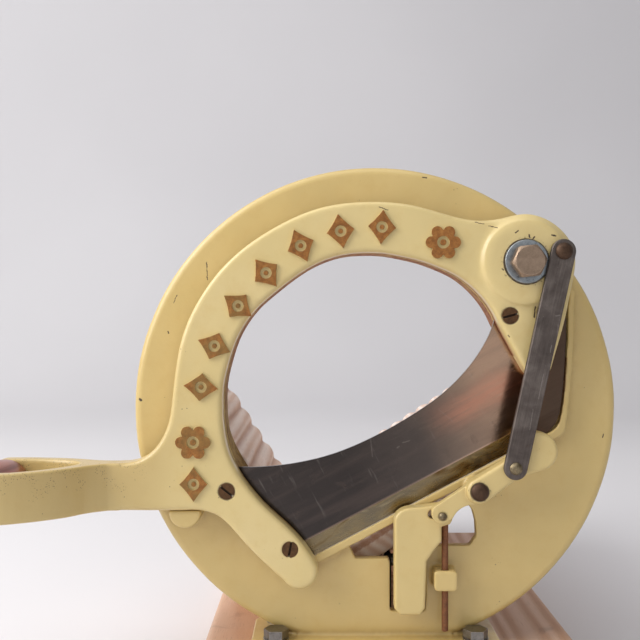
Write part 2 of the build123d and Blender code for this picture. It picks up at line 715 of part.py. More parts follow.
# U-shaped bracket, centred on the axle
bracket_w, bracket_l, bracket_t = 24.0, 16.0, 3.0
bracket_z0, bracket_z1 = base_t + gap, 68.2
left, right = bracket_x - bracket_w / 2, bracket_x + bracket_w / 2
with BuildPart() as crank_bracket:
    with BuildSketch(front(-(crank_y - bracket_l / 2))):
        with BuildLine():
            Polyline((left, bracket_z0), (right, bracket_z0), (right, bracket_z1),
                     (right - bracket_t, bracket_z1),
                     (right - bracket_t, bracket_z0 + bracket_t),
                     (left + bracket_t, bracket_z0 + bracket_t),
                     (left + bracket_t, bracket_z1), (left, bracket_z1), (left, bracket_z0))
        make_face()
    extrude(amount=-bracket_l)
    with BuildSketch(Plane.YZ):
        with Locations(crank_at):
            Circle(4.02)
    extrude(amount=40, mode=Mode.SUBTRACT)
    with BuildSketch(Plane.XY.offset(base_t - 1)):
        with Locations((bracket_x, crank_y)):
            Circle(2.6)
    extrude(amount=8, mode=Mode.SUBTRACT)
save(crank_bracket, "crank_bracket")

# ---------------------------------------------------------------
# feed carriage with two raked spike combs under the trough floor
# ---------------------------------------------------------------
carriage_y0, carriage_y1 = 40.0, 84.0
slot_y0, slot_y1 = 45.0, 81.0          # comb slots in the carriage
with BuildPart() as feed_carriage:
    with BuildSketch(section.offset(-carriage_y1)):
        with Locations((41.0, -carriage_drop)):
            Rectangle(62.0, 5.0)
        with Locations(*guides_at):
            Circle(6.0)
        with Locations(*guides_at):
            Circle(3.06, mode=Mode.SUBTRACT)
    extrude(amount=carriage_y1 - carriage_y0)
    # leg down to the bell crank, with the window for the crank pin
    with BuildSketch(Plane.YZ.offset(tongue_x)):
        Polygon((64, 50), (74, 50), (74, 80.9), (64, 80.9), align=None)
        Polygon((44, 41.5), (74, 41.5), (74, 54.0), (44, 54.0), align=None)
        with Locations((short_tip[0], short_tip[1] - 0.3)):
            SlotOverall(7.4, 5.6, rotation=90, mode=Mode.SUBTRACT)
    extrude(amount=tongue_t)
    with BuildSketch(section.offset(-slot_y1)):
        with Locations(*[(along, -carriage_drop) for along in comb_at]):
            Rectangle(comb_t + 0.1, 6.0)
    extrude(amount=slot_y1 - slot_y0, mode=Mode.SUBTRACT)
save(feed_carriage, "feed_carriage")

# comb outline (Y, height above the crests)
comb_y0, comb_y1 = slot_y0 + 0.1, slot_y1 - 0.1
comb_foot, tooth_root, tooth_tip = -22.2, -2.0, 4.0
tooth_pitch = 8.9
comb_outline = [(comb_y0, comb_foot), (comb_y0, tooth_root)]
for i in range(4):
    tooth_y = comb_y0 + i * tooth_pitch
    comb_outline += [(tooth_y + 0.6, tooth_tip), (tooth_y + 1.6, tooth_tip),
                     (tooth_y + 8.2, tooth_root)]
comb_outline += [(comb_y1, tooth_root), (comb_y1, comb_foot), (comb_y0, comb_foot)]
with BuildPart() as feed_spikes:
    for along in comb_at:
        comb_x, comb_z = floor_pt(along)
        comb_plane = Plane(origin=(comb_x, 0, comb_z), x_dir=(0, 1, 0), z_dir=floor_dir)
        with BuildSketch(comb_plane.offset(-comb_t / 2)):
            with BuildLine():
                Polyline(*comb_outline)
            make_face()
        extrude(amount=comb_t)
save(feed_spikes, "feed_spikes")

guide_y0, guide_y1 = 24.0, 103.9
with BuildPart() as guide_rods:
    with BuildSketch(section.offset(-guide_y1)):
        with Locations(*guides_at):
            Circle(3.0)
    extrude(amount=guide_y1 - guide_y0)
save(guide_rods, "guide_rods")

# ---------------------------------------------------------------
# fluted trough boards
# ---------------------------------------------------------------
floor_flute0, floor_flutes = 6.0, 10   # start of the first flute, number of flutes
wall_flute0, wall_flutes = 10.4, 7
floor_flute1 = floor_flute0 + floor_flutes * flute_pitch
wall_flute1 = wall_flute0 + wall_flutes * flute_pitch

with BuildPart() as trough_floor:
    with BuildSketch(section.offset(-floor_y1)):
        with BuildLine():
            Line((gap, -board_t), (gap, -flute_d))
            Line((gap, -flute_d), (floor_flute0, -flute_d))
            for i in range(floor_flutes):
                start = floor_flute0 + i * flute_pitch
                ThreePointArc((start, -flute_d), (start + flute_pitch / 2, 0),
                              (start + flute_pitch, -flute_d))
            Line((floor_flute1, -flute_d), (floor_w, -flute_d))
            Line((floor_w, -flute_d), (floor_w, -board_t))
            Line((floor_w, -board_t), (gap, -board_t))
        make_face()
    extrude(amount=floor_y1 - trough_y0)
    # slots for the spike combs
    with BuildSketch(floor_face.offset(-30)):
        with Locations(*[(along, 56.0) for along in comb_at]):
            SlotOverall(58.0, 6.4, rotation=90)
    extrude(amount=60, mode=Mode.SUBTRACT)
    with Locations(floor_face.offset(-flute_d)):
        with Locations(*front_floor_screws, *rear_floor_screws):
            CounterSinkHole(radius=2.05, counter_sink_radius=4.2, depth=40,
                            counter_sink_angle=90)
save(trough_floor, "trough_floor")

with BuildPart() as trough_wall:
    with BuildSketch(section.offset(-wall_y1)):
        with BuildLine():
            Line((0.0, -board_t), (0.0, 0.6))
            Line((0.0, 0.6), (-flute_d, 0.6))
            Line((-flute_d, 0.6), (-flute_d, wall_flute0))
            for i in range(wall_flutes):
                start = wall_flute0 + i * flute_pitch
                ThreePointArc((-flute_d, start), (0, start + flute_pitch / 2),
                              (-flute_d, start + flute_pitch))
            Line((-flute_d, wall_flute1), (-flute_d, wall_h))
            Line((-flute_d, wall_h), (-board_t, wall_h))
            Line((-board_t, wall_h), (-board_t, -board_t))
            Line((-board_t, -board_t), (0.0, -board_t))
        make_face()
    extrude(amount=wall_y1 - trough_y0)
    with Locations(wall_face.offset(-flute_d)):
        with Locations(*wall_screws):
            CounterSinkHole(radius=2.05, counter_sink_radius=4.2, depth=40,
                            counter_sink_angle=90)
save(trough_wall, "trough_wall")

# ---------------------------------------------------------------
# cradles that carry the trough
# ---------------------------------------------------------------
cradle_z = base_t + gap
with BuildPart() as front_cradle:
    with BuildSketch(front(-(front_cradle_y + cradle_t / 2))):
        wall_top = wall_pt(66.0, under_board)
        floor_end = floor_pt(80.0, under_board)
        Polygon(wall_top, floor_pt(-under_board, under_board), floor_end,
                (floor_end[0] + 2.6, floor_end[1] - 4), (floor_end[0] + 2.6, cradle_z),
                (wall_top[0] - 8, cradle_z), (wall_top[0] - 8, wall_top[1] - 6), align=None)
        with Locations((20.0, 45.0)):
            Circle(10.0, mode=Mode.SUBTRACT)
    extrude(amount=cradle_t)
    # blind bores for the guide rods
    with BuildSketch(section.offset(-104.2)):
        with Locations(*guides_at):
            Circle(3.03)
    extrude(amount=14.2, mode=Mode.SUBTRACT)
    with Locations(floor_face.offset(-board_t)):
        with Locations(*front_floor_screws):
            Hole(radius=2.05, depth=15.0)
    with Locations(wall_face.offset(-board_t)):
        with Locations(*wall_screws):
            Hole(radius=2.05, depth=15.0)
    with BuildSketch(Plane.XY.offset(base_t - 1)):
        with Locations(*front_base_screws):
            Circle(2.3)
    extrude(amount=16.0, mode=Mode.SUBTRACT)
save(front_cradle, "front_cradle")

with BuildPart() as rear_cradle:
    with BuildSketch(front(-(rear_cradle_y + cradle_t / 2))):
        floor_start = floor_pt(-2.0, under_board)
        floor_end = floor_pt(158.0, under_board)
        Polygon(floor_start, floor_end, (floor_end[0] + 3, floor_end[1] - 4),
                (floor_end[0] + 3, floor_end[1] - 18), (52.0, 64.0), (50.0, cradle_z),
                (floor_start[0] - 8, cradle_z), (floor_start[0] - 8, floor_start[1] - 5),
                align=None)
        with Locations((14.0, 48.0)):
            Circle(13.0, mode=Mode.SUBTRACT)
    extrude(amount=cradle_t)
    with Locations(floor_face.offset(-board_t)):
        with Locations(*rear_floor_screws):
            Hole(radius=2.05, depth=15.0)
    with BuildSketch(Plane.XY.offset(base_t - 1)):
        with Locations(*rear_base_screws):
            Circle(2.3)
    extrude(amount=16.0, mode=Mode.SUBTRACT)
save(rear_cradle, "rear_cradle")

# countersunk wood screws of the trough: origin on the crests, direction across
# the screw, screw axis, and the sign of the profile's y that points into the board
screw_seats = [(floor_face.from_local_coords((along, y, 0)), floor_dir, wall_dir, -1)
               for along, y in front_floor_screws + rear_floor_screws]
screw_seats += [(wall_face.from_local_coords((y, up, 0)), wall_dir, floor_dir, 1)
                for y, up in wall_screws]
with BuildPart() as trough_screws:
    for origin, across, axis_dir, inward in screw_seats:
        with BuildSketch(Plane(origin=origin, x_dir=across, z_dir=(0, -1, 0))):
            Polygon((0, 28.0 * inward), (2.0, 26.0 * inward), (2.0, (flute_d + 2.2) * inward),
                    (4.1, (flute_d + 0.1) * inward), (0, (flute_d + 0.1) * inward), align=None)
        revolve(axis=Axis(origin, axis_dir))
save(trough_screws, "trough_screws")

# ---------------------------------------------------------------
# base board, its screws and the foot bolts
# ---------------------------------------------------------------
with BuildPart() as base_board:
    with BuildSketch(Plane.XY):
        with Locations((10.0, 136.0)):
            RectangleRounded(232.0, 320.0, 12)
    extrude(amount=base_t)
    fillet(edges_at(base_board, Axis.Z, base_t), radius=4.0)
    # blind holes for the foot bolts and the bracket screw
    with BuildSketch(Plane.XY.offset(base_t)):
        with Locations(*foot_bolts_at):
            Circle(4.05)
        with Locations((bracket_x, crank_y)):
            Circle(2.55)
    extrude(amount=-18.5, mode=Mode.SUBTRACT)
    # through holes for fixing the board to a worktop
    with BuildSketch(Plane.XY):
        with Locations((-90.0, 0.0), (110.0, 0.0), (-90.0, 272.0), (110.0, 272.0)):
            Circle(2.75)
    extrude(amount=base_t, mode=Mode.SUBTRACT)
    # cradle screw holes, countersunk from below, where local y is reversed
    with Locations(Plane.XY.rotated((180, 0, 0))):
        with Locations(*[(x, -y) for x, y in front_base_screws + rear_base_screws]):
            CounterSinkHole(radius=2.3, counter_sink_radius=4.6, depth=base_t,
                            counter_sink_angle=90)
save(base_board, "base_board")

with BuildPart() as base_screws:
    for x, y in front_base_screws + rear_base_screws:
        with BuildSketch(Plane(origin=(x, y, 0), x_dir=(1, 0, 0), z_dir=(0, -1, 0))):
            Polygon((0, 0.2), (4.3, 0.2), (2.2, 2.35), (2.2, 34.0), (0, 36.0), align=None)
        revolve(axis=Axis((x, y, 0), (0, 0, 1)))
save(base_screws, "base_screws")

bolt_head_z = base_t + foot_t + 1.65
bolt_end_z = 4.0
with BuildPart() as foot_bolts:
    with BuildSketch(Plane.XY.offset(bolt_head_z)):
        with Locations(*foot_bolts_at):
            RegularPolygon(radius=6.5, side_count=6, major_radius=False)
    extrude(amount=5.3)
    with BuildSketch(Plane.XY.offset(bolt_end_z)):
        with Locations(*foot_bolts_at):
            Circle(4.0)
    extrude(amount=bolt_head_z - bolt_end_z)
save(foot_bolts, "foot_bolts")

with BuildPart() as foot_washers:
    with BuildSketch(Plane.XY.offset(base_t + foot_t + 0.03)):
        with Locations(*foot_bolts_at):
            Circle(7.8)
        with Locations(*foot_bolts_at):
            Circle(4.15, mode=Mode.SUBTRACT)
    extrude(amount=1.6)
save(foot_washers, "foot_washers")

screw_head_z, screw_head_h = base_t + 3.1, 2.6
screw_end_z = 5.0
with BuildPart() as bracket_screw:
    with BuildSketch(Plane.XY.offset(screw_head_z)):
        with Locations((bracket_x, crank_y)):
            Circle(4.6)
    extrude(amount=screw_head_h)
    fillet(edges_at(bracket_screw, Axis.Z, screw_head_z + screw_head_h, 0.1), radius=1.2)
    with BuildSketch(Plane.XY.offset(screw_end_z)):
        with Locations((bracket_x, crank_y)):
            Circle(2.5)
    extrude(amount=screw_head_z - screw_end_z)
save(bracket_screw, "bracket_screw")

# ---------------------------------------------------------------
# grip and its bolt
# ---------------------------------------------------------------
grip_y0 = front_prong_y[0] + 0.4       # front end
grip_y1 = rear_prong_y[0] - 0.4        # rear end
grip_bore_r = 3.62
with BuildPart() as wooden_grip:
    with BuildSketch(turning_plane(grip_at)):
        with BuildLine():
            Line((grip_bore_r, grip_y0), (12.6, grip_y0))
            ThreePointArc((12.6, grip_y0), (13.7, grip_y0 + 0.5), (14.2, grip_y0 + 1.8))
            Spline((14.2, grip_y0 + 1.8), (15.3, grip_y0 + 12.0),
                   (15.7, (grip_y0 + grip_y1) / 2), (15.3, grip_y1 - 12.0),
                   (14.2, grip_y1 - 1.8))
            ThreePointArc((14.2, grip_y1 - 1.8), (13.7, grip_y1 - 0.5), (12.6, grip_y1))
            Line((12.6, grip_y1), (grip_bore_r, grip_y1))
            Line((grip_bore_r, grip_y1), (grip_bore_r, grip_y0))
        make_face()
    revolve(axis=turning_axis(grip_at))
save(wooden_grip, "wooden_grip")

bolt_head_y = front_prong_y[1] - gap
bolt_outline = [(0, 13.0), (3.1, 13.0), (3.5, 12.4), (3.5, bolt_head_y), (7.0, bolt_head_y),
                (7.0, bolt_head_y - 0.75)]
save(domed_pin(grip_at, bolt_outline, dome_h=3.0), "grip_bolt")

save(hex_nut(grip_at, rear_prong_y[1] + gap, flat_r=6.0, bore_r=3.55, height=4.2), "grip_nut")

# ---------------------------------------------------------------
# raised ornaments of the bow: pointed lozenges and round rosettes
# ---------------------------------------------------------------
# lozenges on the bow (X, Z), their long axes pointing away from the bow's centre
bow_centre = (-5.0, 172.0)
bow_lozenges = [(-103.7, 182.2), (-95.8, 206.4), (-81.9, 230.0), (-65.4, 249.4),
                (-45.0, 265.4), (-21.5, 274.0), (2.9, 276.4)]
lozenges = [(centre, math.degrees(math.atan2(centre[1] - bow_centre[1],
                                             centre[0] - bow_centre[0])))
            for centre in bow_lozenges]
lozenges.append(((-108.0, 125.0), 90.0))     # upright one on the handle arm
rosettes_at = [(38.9, 267.4), (-108.4, 149.6)]
ornament_depth = cast_front + 0.02
with BuildPart() as bow_ornaments:
    for centre, angle in lozenges:
        with BuildSketch(turned_front(centre, ornament_depth, angle)):
            with BuildLine():
                ThreePointArc((-10.4, 0), (-3.6, 5.0), (0, 8.4))
                ThreePointArc((0, 8.4), (3.6, 5.0), (10.4, 0))
                ThreePointArc((10.4, 0), (3.6, -5.0), (0, -8.4))
                ThreePointArc((0, -8.4), (-3.6, -5.0), (-10.4, 0))
            make_face()
            Circle(3.3, mode=Mode.SUBTRACT)
        extrude(amount=1.7)
        with BuildSketch(turned_front(centre, ornament_depth, angle)):
            Circle(1.5)
        extrude(amount=1.3)
    for centre in rosettes_at:
        with BuildSketch(turned_front(centre, ornament_depth, 0)):
            with PolarLocations(6.9, 6):
                Circle(3.6)
            Circle(6.2)
            Circle(3.6, mode=Mode.SUBTRACT)
        extrude(amount=1.7)
        with BuildSketch(turned_front(centre, ornament_depth, 0)):
            Circle(1.9)
        extrude(amount=1.4)
save(bow_ornaments, "bow_ornaments")
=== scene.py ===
"""Lever bread slicer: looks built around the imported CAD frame. Metres, in the CAD frame."""
import math

import bmesh
import bpy
import numpy as np
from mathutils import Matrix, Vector


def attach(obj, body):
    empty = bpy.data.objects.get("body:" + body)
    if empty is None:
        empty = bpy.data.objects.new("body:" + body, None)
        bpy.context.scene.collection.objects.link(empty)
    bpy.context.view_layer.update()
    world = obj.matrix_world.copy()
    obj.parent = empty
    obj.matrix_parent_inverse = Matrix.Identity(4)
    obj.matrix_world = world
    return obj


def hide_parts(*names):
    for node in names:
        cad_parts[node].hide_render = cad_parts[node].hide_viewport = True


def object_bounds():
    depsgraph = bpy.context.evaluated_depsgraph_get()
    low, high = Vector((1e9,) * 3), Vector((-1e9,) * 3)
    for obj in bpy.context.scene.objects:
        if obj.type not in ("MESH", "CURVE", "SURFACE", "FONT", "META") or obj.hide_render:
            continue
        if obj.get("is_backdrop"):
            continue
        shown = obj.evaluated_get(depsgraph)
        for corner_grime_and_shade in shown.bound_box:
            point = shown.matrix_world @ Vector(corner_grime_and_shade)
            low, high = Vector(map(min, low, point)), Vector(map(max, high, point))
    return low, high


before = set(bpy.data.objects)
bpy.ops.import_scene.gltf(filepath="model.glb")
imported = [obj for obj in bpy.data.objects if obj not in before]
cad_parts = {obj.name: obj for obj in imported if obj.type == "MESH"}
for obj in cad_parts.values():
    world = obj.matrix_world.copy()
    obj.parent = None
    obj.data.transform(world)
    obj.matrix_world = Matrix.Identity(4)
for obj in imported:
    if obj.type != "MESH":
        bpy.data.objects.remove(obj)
CAD_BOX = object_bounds()
MM = 0.001

# axes of the mechanism, millimetres (X, Z)
P = (87.5, 255.9)
A = (108.0, 261.7)
B = (80.1, 135.4)
R = (59.7, 121.2)
D = (38.6, 106.2)
DISC = (0.0, 168.0)
SLOPE = 0.5245


def bar_z(x):
    return 105.8 + (x - 14.8) * SLOPE


# ------------------------------------------------------------------ node helpers
def lin(r, g, b):
    """sRGB 0-255 to linear RGBA."""
    out = []
    for c in (r, g, b):
        c = c / 255.0
        out.append(c / 12.92 if c <= 0.04045 else ((c + 0.055) / 1.055) ** 2.4)
    return tuple(out) + (1.0,)


class Mat:
    """A small node-tree builder."""

    def __init__(self, name):
        self.mat = bpy.data.materials.new(name)
        self.mat.use_nodes = True
        self.nt = self.mat.node_tree
        self.nt.nodes.clear()
        self.out = self.nt.nodes.new("ShaderNodeOutputMaterial")
        self.bsdf = self.nt.nodes.new("ShaderNodeBsdfPrincipled")
        self.nt.links.new(self.bsdf.outputs[0], self.out.inputs[0])
        tc = self.nt.nodes.new("ShaderNodeTexCoord")
        self.obj = tc.outputs["Object"]
        self._sep = None

    def put(self, sock, v):
        if isinstance(v, bpy.types.NodeSocket):
            self.nt.links.new(v, sock)
        else:
            sock.default_value = v

    def xyz(self):
        if self._sep is None:
            n = self.nt.nodes.new("ShaderNodeSeparateXYZ")
            self.nt.links.new(self.obj, n.inputs[0])
            self._sep = n
        return self._sep.outputs[0], self._sep.outputs[1], self._sep.outputs[2]

    def math(self, op, a, b=0.0, c=0.0, clamp=False):
        n = self.nt.nodes.new("ShaderNodeMath")
        n.operation = op
        n.use_clamp = clamp
        self.put(n.inputs[0], a)
        self.put(n.inputs[1], b)
        self.put(n.inputs[2], c)
        return n.outputs[0]

    def vmath(self, op, a, b=(0, 0, 0), scale=None, value=False):
        n = self.nt.nodes.new("ShaderNodeVectorMath")
        n.operation = op
        self.put(n.inputs[0], a)
        self.put(n.inputs[1], b)
        if scale is not None:
            self.put(n.inputs["Scale"], scale)
        return n.outputs["Value"] if value else n.outputs[0]

    def mapping(self, scale=(1, 1, 1), rot=(0, 0, 0), loc=(0, 0, 0), vec=None):
        n = self.nt.nodes.new("ShaderNodeMapping")
        n.inputs["Scale"].default_value = scale
        n.inputs["Rotation"].default_value = rot
        n.inputs["Location"].default_value = loc
        self.nt.links.new(vec or self.obj, n.inputs[0])
        return n.outputs[0]

    def noise(self, scale, detail=3.0, rough=0.5, dist=0.0, vec=None, color=False):
        n = self.nt.nodes.new("ShaderNodeTexNoise")
        n.inputs["Scale"].default_value = scale
        n.inputs["Detail"].default_value = detail
        n.inputs["Roughness"].default_value = rough
        n.inputs["Distortion"].default_value = dist
        self.nt.links.new(vec or self.obj, n.inputs["Vector"])
        return n.outputs["Color"] if color else n.outputs[0]

    def voronoi(self, scale, feature="F1", vec=None, rand=1.0):
        n = self.nt.nodes.new("ShaderNodeTexVoronoi")
        n.feature = feature
        n.inputs["Scale"].default_value = scale
        n.inputs["Randomness"].default_value = rand
        self.nt.links.new(vec or self.obj, n.inputs["Vector"])
        return n.outputs["Distance"]

    def ramp(self, fac, stops, interp="LINEAR"):
        n = self.nt.nodes.new("ShaderNodeValToRGB")
        n.color_ramp.interpolation = interp
        el = n.color_ramp.elements
        while len(el) < len(stops):
            el.new(0.5)
        for e, (p, c) in zip(el, stops):
            e.position = p
            e.color = c if len(c) == 4 else tuple(c) + (1.0,)
        self.put(n.inputs[0], fac)
        return n.outputs[0]

    def step(self, v, lo, hi, a=0.0, b=1.0, smooth=True):
        """a below lo, b above hi."""
        n = self.nt.nodes.new("ShaderNodeMapRange")
        n.interpolation_type = "SMOOTHSTEP" if smooth else "LINEAR"
        self.put(n.inputs[0], v)
        self.put(n.inputs[1], lo)
        self.put(n.inputs[2], hi)
        self.put(n.inputs[3], a)
        self.put(n.inputs[4], b)
        return n.outputs[0]

    def mix(self, fac, a, b, mode="MIX"):
        n = self.nt.nodes.new("ShaderNodeMix")
        n.data_type = "RGBA"
        n.blend_type = mode
        n.clamp_factor = True
        self.put(n.inputs[0], fac)
        self.put(n.inputs[6], a)
        self.put(n.inputs[7], b)
        return n.outputs[2]

    def attr(self, name):
        n = self.nt.nodes.new("ShaderNodeAttribute")
        n.attribute_name = name
        return n.outputs["Fac"]

    def ao(self, dist, samples=4, inside=False):
        n = self.nt.nodes.new("ShaderNodeAmbientOcclusion")
        n.samples = samples
        n.inside = inside
        n.only_local = True
        n.inputs["Distance"].default_value = dist
        return n.outputs["AO"]

    def bevel(self, radius, samples=4):
        n = self.nt.nodes.new("ShaderNodeBevel")
        n.samples = samples
        n.inputs["Radius"].default_value = radius
        return n.outputs[0]

    def edge(self, radius, samples=4):
        """About 1 on sharp outside edges, 0 elsewhere."""
        b = self.bevel(radius, samples)
        g = self.nt.nodes.new("ShaderNodeNewGeometry")
        d = self.vmath("DOT_PRODUCT", b, g.outputs["Normal"], value=True)
        return self.math("SUBTRACT", 1.0, d, clamp=True)

    def bump(self, height, strength=0.3, dist=0.0002, normal=None):
        n = self.nt.nodes.new("ShaderNodeBump")
        n.inputs["Strength"].default_value = strength
        n.inputs["Distance"].default_value = dist
        self.put(n.inputs["Height"], height)
        if normal is not None:
            self.put(n.inputs["Normal"], normal)
        return n.outputs[0]

    def ring(self, centre, r0, r1, soft=0.6):
        """1 between radii r0 and r1 (mm) about an axis along Y."""
        x, y, z = self.xyz()
        dx = self.math("SUBTRACT", x, centre[0] * MM)
        dz = self.math("SUBTRACT", z, centre[1] * MM)
        r = self.math("SQRT", self.math("ADD", self.math("MULTIPLY", dx, dx), self.math("MULTIPLY", dz, dz)))
        a = self.step(r, (r0 - soft) * MM, r0 * MM)
        b = self.step(r, r1 * MM, (r1 + soft) * MM, 1.0, 0.0)
        return self.math("MULTIPLY", a, b)

    def scratch(self, a, b, width, wobble=0.6, seed=0.0):
        """1 on a thin line from a to b (X, Z in mm), with a ragged edge."""
        if not hasattr(self, "_jit"):
            c = self.noise(700, 3, 0.6, color=True)
            self._jit = self.vmath("SUBTRACT", c, (0.5, 0.5, 0.5))
        p = self.vmath("ADD", self.obj, self.vmath("SCALE", self._jit, scale=wobble * MM * 2))
        p = self.vmath("MULTIPLY", p, (1, 0, 1))
        va = Vector((a[0] * MM, 0, a[1] * MM))
        ba = Vector((b[0] * MM, 0, b[1] * MM)) - va
        pa = self.vmath("SUBTRACT", p, tuple(va))
        h = self.math("DIVIDE", self.vmath("DOT_PRODUCT", pa, tuple(ba), value=True), max(ba.length_squared, 1e-9), clamp=True)
        foot = self.vmath("SCALE", tuple(ba), scale=h)
        d = self.vmath("LENGTH", self.vmath("SUBTRACT", pa, foot), value=True)
        return self.step(d, width * MM * 0.5, width * MM, 1.0, 0.0)

    def set(self, **kw):
        for k, v in kw.items():
            self.put(self.bsdf.inputs[k.replace("_", " ")], v)


def most(m, *vals):
    out = vals[0]
    for v in vals[1:]:
        out = m.math("MAXIMUM", out, v)
    return out


# ------------------------------------------------------------------ materials
def enamel(name, warm=0.0, chips=(), rings=(), bores=(), inner=False, pits=None, darkening=1.0, base=(214, 190, 128)):
    """Old cream enamel on cast iron: soft gloss, age tint, grime and painted shade in corners, small chips down to dark
    iron.
    """
    m = Mat(name)
    x, y, z = m.xyz()
    big = m.noise(14, 3, 0.55)
    mid = m.noise(120, 4, 0.6)
    cream = m.ramp(big, [(0.25, lin(*[c * 0.955 for c in base])), (0.5, lin(*base)), (0.8, lin(base[0] * 1.02, base[1] * 1.025, base[2] * 1.07))])
    tint = m.mix(m.step(mid, 0.45, 0.8, 0.0, 0.28), cream, lin(base[0] * 0.95, base[1] * 0.9, base[2] * 0.82))
    if warm:
        tint = m.mix(warm, tint, lin(190, 150, 92))
    # grime and painted shade held in the inner corners, darker where occlusion is high
    ao = m.ao(0.007, 6)
    corner_grime_and_shade = m.step(ao, 0.35, 0.95, 0.75 * darkening, 0.0)
    corner_grime_and_shade = m.math("MULTIPLY", corner_grime_and_shade, m.step(m.noise(260, 4, 0.6), 0.25, 0.6, 0.45, 1.0))
    tint = m.mix(corner_grime_and_shade, tint, lin(126, 92, 48))
    # thin worn places on the outer edges
    edge = m.edge(0.0012, 4)
    worn = m.math("MULTIPLY", m.step(edge, 0.06, 0.4), m.step(m.noise(520, 4, 0.7), 0.56, 0.68))
    tint = m.mix(m.math("MULTIPLY", worn, 0.7), tint, lin(128, 94, 54))
    # fine dark specks
    spots = m.voronoi(330)
    gate = m.step(m.noise(75, 2, 0.5), 0.62, 0.70)
    speck = m.math("MULTIPLY", m.step(spots, 0.05, 0.13, 1.0, 0.0), gate)
    chip = speck
    marks = [m.scratch(a, b, w, wob, i) for i, (a, b, w, wob) in enumerate(chips)]
    if marks:
        chip = most(m, chip, *marks)
    for centre, r0, r1, amount in rings:
        ring = m.ring(centre, r0 - 0.4, r0 + (r1 - r0) * 0.3, 0.35)
        ragged = m.math("MULTIPLY", m.ring(centre, r0, r1, 0.8), m.step(m.noise(640, 3, 0.7), 0.56, 0.66))
        line = m.math("MULTIPLY", ring, m.step(m.noise(260, 3, 0.6), 0.30, 0.5, 0.45, 1.0))
        chip = most(m, chip, m.math("MULTIPLY", m.math("MAXIMUM", line, m.math("MULTIPLY", ragged, 0.8)), amount))
    for centre, r0 in bores:
        chip = most(m, chip, m.math("MULTIPLY", m.ring(centre, 0.0, r0, 0.2), m.step(y, -0.0225, -0.0222)))
    if pits is not None:
        # a speckled band where hands have rubbed the paint
        where = m.step(x, pits[0] * MM, pits[1] * MM, 1.0, 0.0)
        small = m.step(m.voronoi(900), 0.16, 0.34, 1.0, 0.0)
        high = m.step(z, 0.112, 0.134, 0.62, 0.47)
        some = m.step(m.math("SUBTRACT", m.noise(110, 4, 0.65), high), 0.0, 0.06)
        chip = most(m, chip, m.math("MULTIPLY", m.math("MULTIPLY", where, small), m.math("MULTIPLY", some, 0.6)))
    if pits is not None:
        hand = m.math("MULTIPLY", m.step(x, (pits[0] + 6) * MM, (pits[1] + 26) * MM, 1.0, 0.0), m.step(z, 0.098, 0.136, 0.35, 0.62))
        tint = m.mix(hand, tint, lin(184, 156, 96))
    col = m.mix(chip, tint, m.ramp(m.noise(900, 2, 0.5), [(0.3, lin(48, 38, 28)), (0.7, lin(96, 74, 50))]))
    if inner:
        # inner walls of the opening: worn reddish bare iron up high; lower down, a darker golden brown that is painted
        # shade on the enamel
        inner_wear_and_shade = m.math("MULTIPLY", m.attr("inner"), m.step(m.noise(60, 4, 0.6), 0.25, 0.55, 0.55, 1.0))
        red = m.ramp(m.noise(300, 4, 0.6), [(0.3, lin(120, 74, 50)), (0.6, lin(166, 114, 84)), (0.85, lin(198, 156, 122))])
        painted_shade_gold = m.ramp(m.noise(300, 4, 0.6), [(0.3, lin(104, 76, 36)), (0.7, lin(160, 128, 72))])
        col = m.mix(inner_wear_and_shade, col, m.mix(m.step(z, 0.150, 0.215), painted_shade_gold, red))
    rough = m.math("ADD", m.step(mid, 0.3, 0.8, 0.30, 0.44), m.math("MULTIPLY", chip, 0.35))
    if inner:
        rough = m.math("ADD", rough, m.math("MULTIPLY", m.attr("inner"), 0.45), clamp=True)
    h1 = m.noise(150, 2, 0.5)
    h2 = m.noise(900, 2, 0.5)
    h = m.math("ADD", m.math("MULTIPLY", h1, 1.6), m.math("MULTIPLY", h2, 0.16))
    h = m.math("SUBTRACT", h, m.math("MULTIPLY", chip, 0.7))
    m.set(Base_Color=col, Roughness=rough, Normal=m.bump(h, 0.35, 0.00035), Coat_Weight=m.math("MULTIPLY_ADD", m.attr("inner"), -0.3, 0.3) if inner else 0.3, Coat_Roughness=0.26, IOR=1.5)
    return m.mat


